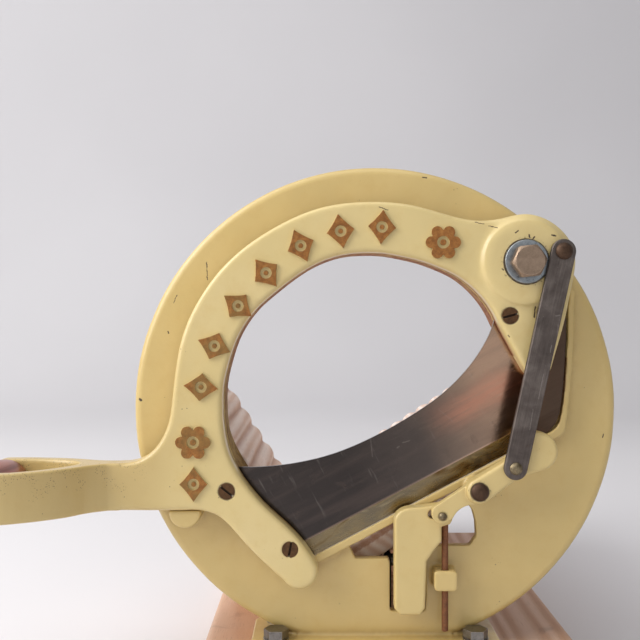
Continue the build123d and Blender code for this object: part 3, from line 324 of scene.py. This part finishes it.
def metal(name, dark, light, rough=(0.3, 0.5), metallic=1.0, scale=180, rust=0.0, grain=None, edge_light=0.5, bev=0.0005, bumpy=0.2, rust_col=(92, 54, 30)):
    """Worn steel: mottled tone, brushed grain, brighter rubbed edges, a little rust and painted shade in the recesses.
    """
    m = Mat(name)
    vec = m.mapping(scale=grain) if grain else m.obj
    mott = m.noise(scale, 5, 0.62, 0.3, vec=vec)
    fine = m.noise(scale * 7, 3, 0.6, vec=vec)
    col = m.ramp(m.math("ADD", m.math("MULTIPLY", mott, 0.7), m.math("MULTIPLY", fine, 0.3)), [(0.33, lin(*dark)), (0.62, lin(*light))])
    edge = m.step(m.edge(bev * 1.6, 4), 0.03, 0.35)
    col = m.mix(m.math("MULTIPLY", edge, edge_light), col, lin(*[min(255, c * 1.45 + 14) for c in light]))
    r = m.step(mott, 0.3, 0.7, rough[0], rough[1])
    met = metallic
    if rust:
        rn = m.step(m.noise(scale * 1.7, 5, 0.7, 0.4), 0.66 - rust * 0.3, 0.78 - rust * 0.25)
        ao = m.step(m.ao(0.003, 4), 0.4, 0.95, 1.0, 0.25)
        rn = m.math("MULTIPLY", rn, ao)
        col = m.mix(rn, col, m.ramp(fine, [(0.35, lin(*[c * 0.7 for c in rust_col])), (0.7, lin(*[min(255, c * 1.35) for c in rust_col]))]))
        r = m.math("ADD", r, m.math("MULTIPLY", rn, 0.3), clamp=True)
        met = m.math("SUBTRACT", metallic, m.math("MULTIPLY", rn, 0.8 * metallic), clamp=True)
    # painted shade: darker, rougher and less metallic in recesses such as screw slots, by occlusion
    recess_shade = m.step(m.ao(0.0035, 6), 0.35, 0.92, 0.85, 0.0)
    col = m.mix(recess_shade, col, lin(*[c * 0.28 for c in dark]))
    r = m.math("ADD", r, m.math("MULTIPLY", recess_shade, 0.3), clamp=True)
    met = m.math("SUBTRACT", met, m.math("MULTIPLY", recess_shade, 0.6 * metallic), clamp=True)
    nrm = m.bevel(bev, 4)
    h = m.math("ADD", mott, m.math("MULTIPLY", fine, 0.5))
    m.set(Base_Color=col, Roughness=r, Metallic=met, Normal=m.bump(h, bumpy, 0.0001, nrm))
    return m.mat


def blade_steel():
    """Ground and polished blade with a straight edge bevel along the slope."""
    m = Mat("blade_steel")
    x, y, z = m.xyz()
    xm = m.math("MULTIPLY", x, 1000.0)
    zm = m.math("MULTIPLY", z, 1000.0)
    # distance above the cutting line, and along it
    n = math.hypot(1, SLOPE)
    line = m.math("ADD", m.math("MULTIPLY", xm, SLOPE), 105.8 - 14.8 * SLOPE)
    up = m.math("DIVIDE", m.math("SUBTRACT", zm, line), n)
    along = m.math("DIVIDE", m.math("ADD", xm, m.math("MULTIPLY", zm, SLOPE)), n)
    # brushed grain runs along the edge
    rot = m.mapping(rot=(0, math.atan(SLOPE), 0))
    grain = m.noise(1.0, 4, 0.6, vec=m.mapping(scale=(60, 900, 900), vec=rot))
    streak = m.noise(1.0, 3, 0.5, vec=m.mapping(scale=(14, 200, 160), vec=rot))
    cross = m.noise(1.0, 4, 0.55, vec=m.mapping(scale=(420, 200, 40), vec=rot))
    soft = m.noise(22, 3, 0.5)
    # painted reflection: the steel runs from dark at the left end to light at the right end, with some random variation
    tone = m.step(along, 20, 190, 0.0, 1.0)
    tone = m.math("ADD", tone, m.math("MULTIPLY", m.math("SUBTRACT", soft, 0.5), 0.35))
    col = m.ramp(tone, [(0.05, lin(66, 61, 59)), (0.38, lin(90, 82, 77)), (0.60, lin(134, 116, 102)), (0.84, lin(182, 150, 126))])
    col = m.mix(m.step(streak, 0.42, 0.7, 0.0, 0.22), col, lin(112, 97, 90))
    col = m.mix(m.step(up, 62, 96, 0.0, 0.6), col, lin(92, 82, 76))
    # warm streak across the middle, a heat tint in the polish
    wobble = m.math("MULTIPLY", m.math("SUBTRACT", m.noise(26, 3, 0.5), 0.5), 16.0)
    mid = m.math("ADD", up, wobble)
    warm = m.math("MULTIPLY", m.step(mid, 24, 37), m.step(mid, 37, 52, 1.0, 0.0))
    warm = m.math("MULTIPLY", warm, m.math("MULTIPLY", m.step(along, 95, 135), m.step(along, 170, 196, 1.0, 0.0)))
    warm = m.math("MULTIPLY", warm, m.step(grain, 0.3, 0.6, 0.25, 0.55))
    col = m.mix(warm, col, lin(222, 148, 120))
    # faint stains and scratches
    stain = m.step(m.noise(48, 5, 0.7, 0.6), 0.60, 0.66, 0.0, 0.25)
    col = m.mix(stain, col, lin(96, 84, 78))
    fine = m.math("MULTIPLY", m.step(cross, 0.60, 0.70), 0.10)
    col = m.mix(fine, col, lin(190, 182, 174))
    nicks = [m.scratch((16.5, 147.5), (20.5, 148.6), 0.5, 0.5), m.scratch((13.2, 144.4), (14.2, 145.2), 0.55, 0.4),
             m.scratch((-2, 139), (-3, 151), 0.3, 0.7), m.scratch((38, 168), (47, 160), 0.25, 0.6), m.scratch((50, 190), (58, 197), 0.25, 0.6)]
    nick = most(m, *nicks)
    col = m.mix(m.math("MULTIPLY", nick, 0.22), col, lin(170, 160, 150))
    # the ground bevel: a painted reflection in greenish grey, with a painted highlight line along its top
    front = m.step(y, -0.0033, -0.0031, 1.0, 0.0)
    bev = m.math("MULTIPLY", m.step(up, 10.7, 11.0, 1.0, 0.0), front)
    bevel_top_highlight = m.math("MULTIPLY", m.math("MULTIPLY", m.step(up, 10.6, 10.9), m.step(up, 11.3, 11.9, 1.0, 0.0)), front)
    wavy = m.noise(1.0, 2, 0.45, 0.8, vec=m.mapping(scale=(34, 60, 120), vec=rot))
    bevel_reflection = m.ramp(m.math("ADD", m.math("MULTIPLY", wavy, 0.85), m.math("MULTIPLY", streak, 0.15)), [(0.30, lin(100, 78, 48)), (0.42, lin(134, 120, 92)), (0.56, lin(118, 108, 90)), (0.70, lin(170, 156, 122))])
    col = m.mix(bev, col, bevel_reflection)
    col = m.mix(m.math("MULTIPLY", bevel_top_highlight, m.step(along, 60, 130, 0.2, 0.6)), col, lin(210, 178, 156))
    # right of the link the steel is dull and brown
    lean = (A[0] - B[0]) / (A[1] - B[1])
    beside = m.math("SUBTRACT", xm, m.math("MULTIPLY_ADD", zm, lean, B[0] - B[1] * lean))
    far = m.step(beside, 3.0, 8.0)
    brown = m.ramp(m.math("ADD", m.math("MULTIPLY", m.noise(70, 4, 0.6), 0.35), m.step(beside, 5.0, 16.0, 0.65, 0.1)), [(0.1, lin(84, 70, 60)), (0.5, lin(100, 80, 66)), (0.95, lin(140, 98, 76))])
    col = m.mix(far, col, brown)
    # thin painted shade line along the blade's outline edges, away from the cutting line
    edge_shade_line = m.math("MULTIPLY", m.step(m.edge(0.0012, 4), 0.03, 0.25), m.step(up, 14, 18))
    col = m.mix(m.math("MULTIPLY", edge_shade_line, 0.75), col, lin(44, 38, 36))
    rough = m.math("ADD", m.step(grain, 0.3, 0.7, 0.12, 0.22), m.math("MULTIPLY", stain, 0.3))
    rough = m.math("ADD", m.math("ADD", rough, m.math("MULTIPLY", bev, 0.12)), m.math("MULTIPLY", far, 0.3), clamp=True)
    h = m.math("ADD", grain, m.math("MULTIPLY", cross, 0.5))
    m.set(Base_Color=col, Metallic=1.0, Roughness=rough, Normal=m.bump(h, 0.035, 0.0001, m.bevel(0.0003)), Anisotropic=0.25)
    return m.mat


def link_steel():
    """Dull brown-grey strip, brushed along its length, rubbed bright at the edges."""
    m = Mat("link_steel")
    ang = math.atan2(A[0] - B[0], A[1] - B[1])
    rot = m.mapping(rot=(0, -ang, 0))
    grain = m.noise(1.0, 4, 0.6, vec=m.mapping(scale=(1100, 900, 45), vec=rot))
    mott = m.noise(90, 5, 0.62, 0.4)
    v = m.math("ADD", m.math("MULTIPLY", grain, 0.35), m.math("MULTIPLY", mott, 0.65))
    col = m.ramp(v, [(0.34, lin(78, 70, 66)), (0.5, lin(98, 89, 84)), (0.66, lin(122, 113, 107))])
    edge = m.step(m.edge(0.0010, 4), 0.04, 0.35)
    col = m.mix(m.math("MULTIPLY", edge, 0.28), col, lin(160, 152, 146))
    marks = [m.scratch((103.2, 224.0), (105.2, 224.4), 0.45, 0.4), m.scratch((104.6, 219), (104.2, 213), 0.3, 0.5),
             m.scratch((96, 190), (93, 176), 0.25, 0.5), m.scratch((88, 158), (90, 170), 0.2, 0.5), m.scratch((100.8, 207), (99.9, 203), 0.35, 0.5)]
    flecks = m.math("MULTIPLY", m.step(m.voronoi(420), 0.05, 0.12, 1.0, 0.0), m.step(m.noise(80, 3), 0.5, 0.62))
    col = m.mix(m.math("MULTIPLY", most(m, most(m, *marks), flecks), 0.28), col, lin(176, 168, 160))
    rn = m.math("MULTIPLY", m.step(m.noise(150, 5, 0.7), 0.62, 0.72), m.step(m.ao(0.004), 0.3, 0.9, 1.0, 0.3))
    col = m.mix(m.math("MULTIPLY", rn, 0.6), col, lin(96, 66, 46))
    h = m.math("ADD", grain, mott)
    m.set(Base_Color=col, Metallic=0.8, Roughness=m.step(v, 0.35, 0.65, 0.42, 0.56), Normal=m.bump(h, 0.12, 0.0001, m.bevel(0.0005)))
    return m.mat


def bronze_relief():
    """Copper-brown paint on the raised faces, cream on their sides, painted highlights on the rims and grime with
    painted shade at their feet.
    """
    m = Mat("relief_bronze")
    g = m.nt.nodes.new("ShaderNodeSeparateXYZ")
    geo = m.nt.nodes.new("ShaderNodeTexCoord")
    m.nt.links.new(geo.outputs["Normal"], g.inputs[0])
    facing = m.math("MULTIPLY", g.outputs[1], -1.0)
    x, y, z = m.xyz()
    n1 = m.noise(330, 4, 0.6)
    n2 = m.noise(1300, 3, 0.6)
    v = m.math("ADD", m.math("MULTIPLY", n1, 0.6), m.math("MULTIPLY", n2, 0.4))
    cop = m.ramp(v, [(0.32, lin(108, 66, 26)), (0.5, lin(152, 98, 44)), (0.68, lin(180, 126, 64))])
    left = m.step(x, -0.085, -0.040, 0.45, 0.0)
    cop = m.mix(m.math("MULTIPLY", left, m.step(m.noise(90, 3), 0.4, 0.6)), cop, lin(132, 112, 62))
    side = m.ramp(n1, [(0.3, lin(176, 152, 96)), (0.7, lin(214, 194, 138))])
    top = m.step(m.math("ADD", facing, m.math("MULTIPLY", m.math("SUBTRACT", n1, 0.5), 0.3)), 0.55, 0.78)
    col = m.mix(top, side, cop)
    # lighter edges: worn paint showing cream, and a painted highlight along the rims
    worn = m.math("MULTIPLY", m.step(m.edge(0.0007, 6), 0.03, 0.3), m.step(n1, 0.35, 0.6, 0.3, 1.0))
    col = m.mix(m.math("MULTIPLY", worn, 0.75), col, lin(216, 196, 140))
    # dark outline at the foot of the relief: grime and painted shade, by occlusion
    rim_grime_and_shade = m.step(m.ao(0.0022, 6), 0.45, 0.85, 0.9, 0.0)
    col = m.mix(rim_grime_and_shade, col, lin(74, 54, 26))
    m.set(Base_Color=col, Roughness=m.step(n1, 0.3, 0.7, 0.36, 0.5), Metallic=m.math("MULTIPLY", top, 0.35), Normal=m.bump(v, 0.35, 0.00025))
    return m.mat


def wood(name, pale, brown, valley=None, ring=38.0, gloss=0.0, rough=(0.6, 0.8), axis="Y", depth=0.4, stain=0.0, end=(150, 108, 76)):
    """Solid timber: growth rings stretched along the grain, pores, and marks of use."""
    m = Mat(name)
    s = {"Y": (1, 0.055, 1), "X": (0.055, 1, 1), "Z": (1, 1, 0.055)}[axis]
    v = m.mapping(scale=s)
    warp = m.noise(9, 3, 0.55, vec=v, color=True)
    w = m.vmath("ADD", v, m.vmath("SCALE", m.vmath("SUBTRACT", warp, (0.5, 0.5, 0.5)), scale=0.055))
    rings = m.nt.nodes.new("ShaderNodeTexWave")
    rings.wave_type = "RINGS"
    rings.rings_direction = axis
    rings.inputs["Scale"].default_value = ring
    rings.inputs["Distortion"].default_value = 2.2
    rings.inputs["Detail"].default_value = 3
    rings.inputs["Detail Scale"].default_value = 1.4
    m.nt.links.new(m.vmath("ADD", w, (0.13, 0.0, 0.21)), rings.inputs["Vector"])
    fib = m.noise(1.0, 4, 0.65, vec=m.mapping(scale=tuple(1500 * c if c == 1 else 40 for c in s)))
    pores = m.step(m.noise(1.0, 2, 0.5, vec=m.mapping(scale=tuple(2600 * c if c == 1 else 90 for c in s))), 0.63, 0.72)
    t = m.math("ADD", m.math("MULTIPLY", rings.outputs["Fac"], 0.55), m.math("MULTIPLY", fib, 0.45))
    col = m.ramp(t, [(0.2, lin(*brown)), (0.5, lin(*[(a + b) / 2 for a, b in zip(pale, brown)])), (0.85, lin(*pale))])
    broad = m.noise(18, 3, 0.5)
    col = m.mix(m.step(broad, 0.45, 0.75, 0.0, 0.35), col, lin(*[c * 0.9 for c in pale]))
    col = m.mix(m.math("MULTIPLY", pores, 0.35), col, lin(*[c * 0.55 for c in brown]))
    if valley is not None:
        # darker, redder colour down in the flute valleys
        darkening = m.math("MULTIPLY", m.attr("valley"), m.step(fib, 0.2, 0.7, 0.45, 1.0))
        col = m.mix(darkening, col, lin(*valley))
    if stain:
        st = m.step(m.noise(30, 5, 0.65, 0.8), 0.58, 0.70, 0.0, stain)
        col = m.mix(st, col, lin(*[c * 0.62 for c in brown]))
    # painted shade: darker brown in the recesses, by occlusion
    ao = m.step(m.ao(0.010, 4), 0.3, 0.95, 0.5, 0.0)
    col = m.mix(ao, col, lin(*[c * 0.5 for c in brown]))
    edge = m.step(m.edge(0.0015, 4), 0.05, 0.4, 0.0, 0.4)
    col = m.mix(edge, col, lin(*[min(255, c * 1.06) for c in pale]))
    h = m.math("SUBTRACT", m.math("ADD", m.math("MULTIPLY", t, 0.7), m.math("MULTIPLY", fib, 0.5)), pores)
    m.set(Base_Color=col, Roughness=m.step(t, 0.2, 0.8, rough[1], rough[0]), Coat_Weight=gloss, Coat_Roughness=0.18, Normal=m.bump(h, depth, 0.0003, m.bevel(0.0008)))
    return m.mat


# ------------------------------------------------------------------ mesh helpers
def coords(me):
    co = np.zeros(len(me.vertices) * 3, np.float64)
    me.vertices.foreach_get("co", co)
    return co.reshape(-1, 3)


def set_coords(me, co):
    me.vertices.foreach_set("co", co.astype(np.float32).ravel())
    me.update()


def normals(me):
    no = np.zeros(len(me.vertices) * 3, np.float32)
    me.vertices.foreach_get("normal", no)
    return no.reshape(-1, 3).astype(float)


def edges_of(me):
    e = np.zeros(len(me.edges) * 2, np.int32)
    me.edges.foreach_get("vertices", e)
    return e.reshape(-1, 2)


def relax(me, rounds, lam=0.5, mu=-0.52):
    """Round off edges without losing volume."""
    co, e = coords(me), edges_of(me)
    n = len(co)
    deg = np.bincount(e.ravel(), minlength=n).astype(float)
    deg[deg == 0] = 1
    for i in range(rounds * 2):
        k = lam if i % 2 == 0 else mu
        s = np.zeros_like(co)
        for c in range(3):
            s[:, c] = np.bincount(e[:, 0], co[e[:, 1], c], n) + np.bincount(e[:, 1], co[e[:, 0], c], n)
        co = co + k * (s / deg[:, None] - co)
    set_coords(me, co)


def attribute(obj, name, values):
    a = obj.data.attributes.get(name) or obj.data.attributes.new(name, "FLOAT", "POINT")
    a.data.foreach_set("value", np.asarray(values, np.float32))


def smooth_all(me):
    me.polygons.foreach_set("use_smooth", np.ones(len(me.polygons), bool))


def copy_mesh(node, name):
    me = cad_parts[node].data.copy()
    me.name = name
    bm = bmesh.new()
    bm.from_mesh(me)
    bmesh.ops.remove_doubles(bm, verts=bm.verts, dist=2e-6)
    bm.to_mesh(me)
    bm.free()
    obj = bpy.data.objects.new(name, me)
    bpy.context.scene.collection.objects.link(obj)
    return obj


def recast(node, name, body, voxel, rounds, mat, lam=0.5, mu=-0.52):
    """The CAD shape as a new piece with rounded, softened edges."""
    obj = copy_mesh(node, name)
    mod = obj.modifiers.new("remesh", "REMESH")
    mod.mode = "VOXEL"
    mod.voxel_size = voxel * MM * 1.0
    mod.adaptivity = 0.0
    bpy.context.view_layer.update()
    dg = bpy.context.evaluated_depsgraph_get()
    me = bpy.data.meshes.new_from_object(obj.evaluated_get(dg))
    obj.modifiers.clear()
    obj.data = me
    me.name = name
    relax(me, rounds, lam, mu)
    smooth_all(me)
    me.materials.clear()
    me.materials.append(mat)
    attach(obj, body)
    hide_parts(node)
    return obj


def noise3(p, seed=0):
    """Smooth value noise at points p (any unit), about -1 to 1."""
    p = p + seed * 17.31
    i = np.floor(p).astype(np.int64)
    f = p - i
    f = f * f * (3 - 2 * f)
    out = np.zeros(len(p))
    for dx in (0, 1):
        for dy in (0, 1):
            for dz in (0, 1):
                h = (i[:, 0] + dx) * 374761393 + (i[:, 1] + dy) * 668265263 + (i[:, 2] + dz) * 2147483647 + seed * 1274126177
                h = (h ^ (h >> 13)) * 1274126177
                h = (h ^ (h >> 16)) & 0xFFFF
                w = (f[:, 0] if dx else 1 - f[:, 0]) * (f[:, 1] if dy else 1 - f[:, 1]) * (f[:, 2] if dz else 1 - f[:, 2])
                out += w * (h / 32767.5 - 1.0)
    return out


def ripple(obj, amount, size, seed=0, stretch=(1, 1, 1)):
    """Push the surface in and out a little along its normals."""
    me = obj.data
    co, no = coords(me), normals(me)
    s = noise3(co / (size * MM) * np.array(stretch), seed)
    set_coords(me, co + no * (s * amount * MM)[:, None])


# ------------------------------------------------------------------ cast parts
arc = [((6.5, 286.5), (1.2, 288.3), 0.30, 0.6), ((57.8, 279.5), (63.0, 278.3), 0.28, 0.7), ((66.0, 277.2), (70.7, 275.9), 0.28, 0.7)]
boss = [((81.0, 272.9), (82.6, 274.0), 0.55, 0.5), ((89.3, 270.2), (89.0, 271.6), 0.55, 0.5), ((91.4, 269.4), (92.2, 270.6), 0.5, 0.5),
        ((102.4, 271.6), (104.6, 271.0), 0.55, 0.5), ((93.4, 229.4), (92.7, 223.4), 0.55, 0.5), ((73.2, 251.6), (73.9, 251.0), 0.5, 0.4),
        ((84.8, 291.0), (88.2, 291.4), 0.3, 0.6), ((99.0, 240.5), (101.0, 239.2), 0.5, 0.7), ((77.4, 212.6), (78.2, 211.8), 0.4, 0.4)]
lever_mat = enamel("enamel_lever", chips=arc + boss, rings=[(P, 13.0, 14.6, 1.0), ((78.6, 224.2), 5.0, 5.5, 0.7), ((-88.7, 120.6), 5.0, 5.6, 0.7), (A, 6.0, 7.6, 0.35)],
                   bores=[((78.6, 224.2), 4.3), ((99.0, 225.8), 4.3), ((-88.7, 120.6), 4.3), ((-51.3, 86.3), 4.3)],
                   inner=True, pits=(-150.0, -128.0), base=(216, 194, 134))
disc_mat = enamel("enamel_disc", chips=[((-102.4, 246.5), (-102.8, 257.1), 0.3, 0.9), ((-143.8, 173.4), (-142.9, 172.6), 0.9, 0.4), ((29.2, 308.9), (31.4, 308.7), 0.5, 0.4),
                                        ((-126.4, 214.6), (-126.0, 213.6), 0.5, 0.4), ((-123, 232), (-121.0, 237), 0.25, 0.7), ((139, 150), (139.6, 152), 0.4, 0.4)],
                  inner=True, base=(208, 182, 118))
small_mat = enamel("enamel_small", rings=[(R, 5.2, 6.3, 0.9), (D, 2.5, 3.2, 0.6)], base=(212, 188, 126), darkening=1.0)

plate = recast("frame_plate", "disc_frame", "frame", 0.9, 7, disc_mat)
ripple(plate, 0.10, 16, 3)
co, no = coords(plate.data), normals(plate.data)
mid = np.array([-0.016, 0.0, 0.190])
to = mid - co
to[:, 1] = 0
to /= np.linalg.norm(to, axis=1)[:, None] + 1e-9
face = (no * to).sum(1)
rad = np.hypot(co[:, 0], co[:, 2] - 0.168)
inside = np.clip((face - 0.45) / 0.3, 0, 1) * (rad < 0.120) * (co[:, 2] * 1000 > bar_z(co[:, 0] * 1000) + 2)
attribute(plate, "inner", inside)
# the casting drafts inward behind the low left corner of the opening
w = np.clip((co[:, 1] * 1000 - 3.0) / 11.0, 0, 1) * np.clip((154.0 - co[:, 2] * 1000) / 26.0, 0, 1) * np.clip((-62.0 - co[:, 0] * 1000) / 10.0, 0, 1) * (rad < 0.122)
w *= np.clip((co[:, 2] * 1000 - 112.0) / 8.0, 0, 1) * np.clip((0.122 - rad) / 0.012, 0, 1)
set_coords(plate.data, co + to * (w * 3.6 * MM)[:, None])

lever = recast("lever_casting", "lever_bow", "lever", 0.8, 8, lever_mat)
me = lever.data
co, no = coords(me), normals(me)
rp = np.hypot(co[:, 0] - P[0] * MM, co[:, 2] - P[1] * MM) * 1000
soft = np.clip((rp - 17.5) / 4.0, 0, 1) * np.clip((36.0 - rp) / 5.0, 0, 1) * (co[:, 1] < -0.016) * (no[:, 1] < -0.25)
e = edges_of(me)
deg = np.maximum(np.bincount(e.ravel(), minlength=len(co)), 1).astype(float)
fair = co[:, 1].copy()
for i in range(26):
    s = np.bincount(e[:, 0], fair[e[:, 1]], len(co)) + np.bincount(e[:, 1], fair[e[:, 0]], len(co))
    fair = fair + 0.6 * soft * (s / deg - fair)
co[:, 1] = np.maximum(fair, co[:, 1].min())
set_coords(me, co)
ripple(lever, 0.09, 14, 5)
co, no = coords(lever.data), normals(lever.data)
to = mid - co
to[:, 1] = 0
to /= np.linalg.norm(to, axis=1)[:, None] + 1e-9
face = (no * to).sum(1)
near = np.hypot(co[:, 0] + 0.016, co[:, 2] - 0.185) < 0.100
back = np.clip((co[:, 1] * 1000 + 12.5) / 4.5, 0, 1)
attribute(lever, "inner", np.clip((face - 0.55) / 0.3, 0, 1) * near * back * (co[:, 2] * 1000 > bar_z(co[:, 0] * 1000) + 14))

recast("rocker_arm", "rocker_casting", "rocker", 0.45, 7, small_mat)
recast("feed_slider", "feed_block", "slider", 0.45, 7, small_mat)

relief = recast("bow_ornaments", "bow_relief", "lever", 0.28, 5, bronze_relief())

# ------------------------------------------------------------------ trough boards
tilt = math.radians(33.0)
OXZ = np.array([-36.0, 66.5]) * MM
f_dir = np.array([math.cos(tilt), math.sin(tilt)])
w_dir = np.array([-math.sin(tilt), math.cos(tilt)])
raw = wood("raw_wood_board", (240, 224, 214), (216, 186, 168), valley=(182, 136, 112), ring=46, rough=(0.62, 0.8), stain=0.12)
for node, name, voxel, seed in (("trough_floor", "trough_floor_board", 1.0, 1), ("trough_wall", "trough_wall_board", 0.8, 2)):
    obj = recast(node, name, "frame", voxel, 4, raw)
    co = coords(obj.data)
    rel = co[:, [0, 2]] - OXZ
    below = -(rel @ w_dir) if node == "trough_floor" else -(rel @ f_dir)
    attribute(obj, "valley", np.clip((below - 0.0013) / 0.0018, 0, 1) * (below < 0.006))
    ripple(obj, 0.14, 2.2, seed, (1, 0.12, 1))
    ripple(obj, 0.16, 1.6, seed + 3, (0.25, 1, 0.25))
    ripple(obj, 0.28, 7.0, seed + 7, (1, 0.5, 1))

cradle = wood("raw_wood_cradle", (226, 192, 164), (204, 162, 134), ring=40, axis="X", rough=(0.6, 0.8), stain=0.15)
recast("front_cradle", "cradle_front", "frame", 0.9, 4, cradle)
recast("rear_cradle", "cradle_rear", "frame", 0.9, 4, cradle)
base_mat = wood("base_wood_board", (214, 174, 142), (190, 144, 110), ring=30, gloss=0.10, rough=(0.42, 0.6), stain=0.3, depth=0.3)
board = recast("base_board", "base_plank", "frame", 1.6, 3, base_mat)

# ------------------------------------------------------------------ grip
grip_mat = wood("grip_varnish", (156, 78, 44), (104, 44, 22), ring=60, gloss=0.3, rough=(0.3, 0.45), depth=0.2, stain=0.3)
recast("wooden_grip", "turned_grip", "grip", 0.5, 4, grip_mat)

# the worn surfaces stay inside the size of the CAD model
lo, hi = np.array([float(c) for c in CAD_BOX[0]]) + 1e-6, np.array([float(c) for c in CAD_BOX[1]]) - 1e-6
for name in ("disc_frame", "lever_bow", "rocker_casting", "feed_block", "bow_relief", "trough_floor_board", "trough_wall_board",
             "cradle_front", "cradle_rear", "base_plank", "turned_grip"):
    me = bpy.data.objects[name].data
    set_coords(me, np.clip(coords(me), lo, hi))

# ------------------------------------------------------------------ parts that keep their CAD mesh
dark = metal("dark_steel_fastener", (58, 42, 32), (92, 70, 54), rough=(0.38, 0.6), metallic=0.75, scale=420, rust=0.35, edge_light=0.35, bev=0.0004)
screw = metal("dark_steel_screw", (62, 42, 26), (104, 74, 46), rough=(0.4, 0.62), metallic=0.65, scale=500, rust=0.5, edge_light=0.3, bev=0.0002)
bright = metal("bright_steel_part", (120, 118, 116), (176, 173, 170), rough=(0.22, 0.4), scale=300, rust=0.12, edge_light=0.6, bev=0.0003)
pinned = metal("oily_pin_steel", (70, 58, 42), (150, 136, 108), rough=(0.3, 0.5), metallic=0.85, scale=420, rust=0.35, edge_light=0.3, bev=0.0004)
washer = metal("washer_steel", (112, 118, 122), (160, 166, 170), rough=(0.26, 0.42), scale=300, rust=0.15, edge_light=0.6, bev=0.0004)
hexm = metal("hex_steel", (132, 112, 94), (160, 138, 118), rough=(0.34, 0.5), metallic=0.8, scale=240, rust=0.12, edge_light=0.75, bev=0.0006)
bolt = metal("bolt_steel_plain", (104, 100, 96), (146, 142, 138), rough=(0.3, 0.5), scale=260, rust=0.3, edge_light=0.5, bev=0.0004)
rusty = metal("rust_steel_rod", (96, 58, 36), (150, 100, 66), rough=(0.5, 0.75), metallic=0.45, scale=260, rust=0.7, edge_light=0.2, bev=0.0003)
iron = metal("black_iron_cast", (34, 33, 33), (58, 56, 55), rough=(0.45, 0.7), metallic=0.5, scale=220, rust=0.2, edge_light=0.4, bev=0.0008, bumpy=0.5)
steel = blade_steel()
link = link_steel()
finish = {
    "blade": steel, "link_bar": link, "blade_screws": screw, "pivot_sleeve": bright, "pivot_washer": washer, "pivot_bolt": hexm,
    "pivot_nut": bolt, "link_stud": dark, "link_rivet": pinned, "rocker_stud": dark, "rocker_nut": bolt, "drive_pin": pinned,
    "slider_rod": rusty, "bell_crank": iron, "crank_pins": bright, "crank_axle": bright, "crank_bracket": iron, "bracket_screw": screw,
    "feed_carriage": iron, "feed_spikes": bright, "guide_rods": bright, "trough_screws": screw, "base_screws": screw,
    "foot_bolts": bolt, "foot_washers": bright, "grip_bolt": dark, "grip_nut": dark,
}
for name, mat in finish.items():
    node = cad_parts[name]
    node.data.materials.clear()
    node.data.materials.append(mat)

# ------------------------------------------------------------------ studio
me = bpy.data.meshes.new("studio_sweep")
bm = bmesh.new()
prof = [(-2.5, 0.0), (1.6, 0.0)]
for i in range(1, 17):
    a = math.radians(90 * i / 16)
    prof.append((1.6 + 0.9 * math.sin(a), 0.9 - 0.9 * math.cos(a)))
prof.append((2.5, 4.0))
rows = [[bm.verts.new((x, y, z)) for x in (-4.0, 4.0)] for y, z in prof]
for a, b in zip(rows, rows[1:]):
    bm.faces.new((a[0], a[1], b[1], b[0]))
bm.to_mesh(me)
bm.free()
smooth_all(me)
sweep = bpy.data.objects.new("studio_sweep", me)
bpy.context.scene.collection.objects.link(sweep)
paper = Mat("studio_paper")
paper.set(Base_Color=paper.ramp(paper.noise(1.2, 2), [(0.3, lin(222, 220, 222)), (0.7, lin(228, 226, 228))]), Roughness=0.85)
me.materials.append(paper.mat)
sweep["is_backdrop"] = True


def area(name, loc, target, size, power, color=(1, 1, 1)):
    data = bpy.data.lights.new(name, "AREA")
    data.shape = "RECTANGLE"
    data.size, data.size_y = size
    data.energy = power
    data.color = color
    o = bpy.data.objects.new(name, data)
    o.location = loc
    o.rotation_euler = (Vector(target) - Vector(loc)).to_track_quat("-Z", "Y").to_euler()
    bpy.context.scene.collection.objects.link(o)
    return o


area("window_left", (-1.35, -0.62, 0.95), (0, 0, 0.2), (1.1, 1.3), 21.5, (1.0, 0.985, 0.97))
area("soft_top", (-0.2, -0.35, 1.6), (0, 0.1, 0.2), (1.5, 1.5), 8, (1.0, 0.99, 0.98))
area("fill_front", (0.3, -1.9, 0.6), (0, 0, 0.2), (1.4, 1.4), 2.4, (0.97, 0.98, 1.0))
area("backdrop_wash", (-2.2, 0.5, 2.2), (-0.4, 2.4, 0.4), (2.4, 1.8), 36, (1.0, 1.0, 1.0))
world = bpy.data.worlds.new("studio_world")
world.use_nodes = True
bg = world.node_tree.nodes["Background"]
bg.inputs[0].default_value = (0.80, 0.80, 0.82, 1)
bg.inputs[1].default_value = 0.45
bpy.context.scene.world = world

cam = bpy.data.cameras.new("camera")
cam.lens = 50.0
cam.sensor_width = 36.0
cam.clip_start = 0.02
co_ = bpy.data.objects.new("camera", cam)
co_.location = (-0.0336, -0.543, 0.2217)
co_.rotation_euler = (math.radians(90), 0, 0)
bpy.context.scene.collection.objects.link(co_)
bpy.context.scene.camera = co_
view = bpy.context.scene.view_settings
view.view_transform = "Standard"
view.look = "None"
view.exposure = 0.0
view.gamma = 1.0


def plain(b):
    if isinstance(b, dict):
        return {k: plain(v) for k, v in b.items()}
    if isinstance(b, (int, float, str)) or b is None:
        return b
    return [plain(v) for v in b]


{"cad_box": plain(CAD_BOX), "visual_box": plain(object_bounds())}
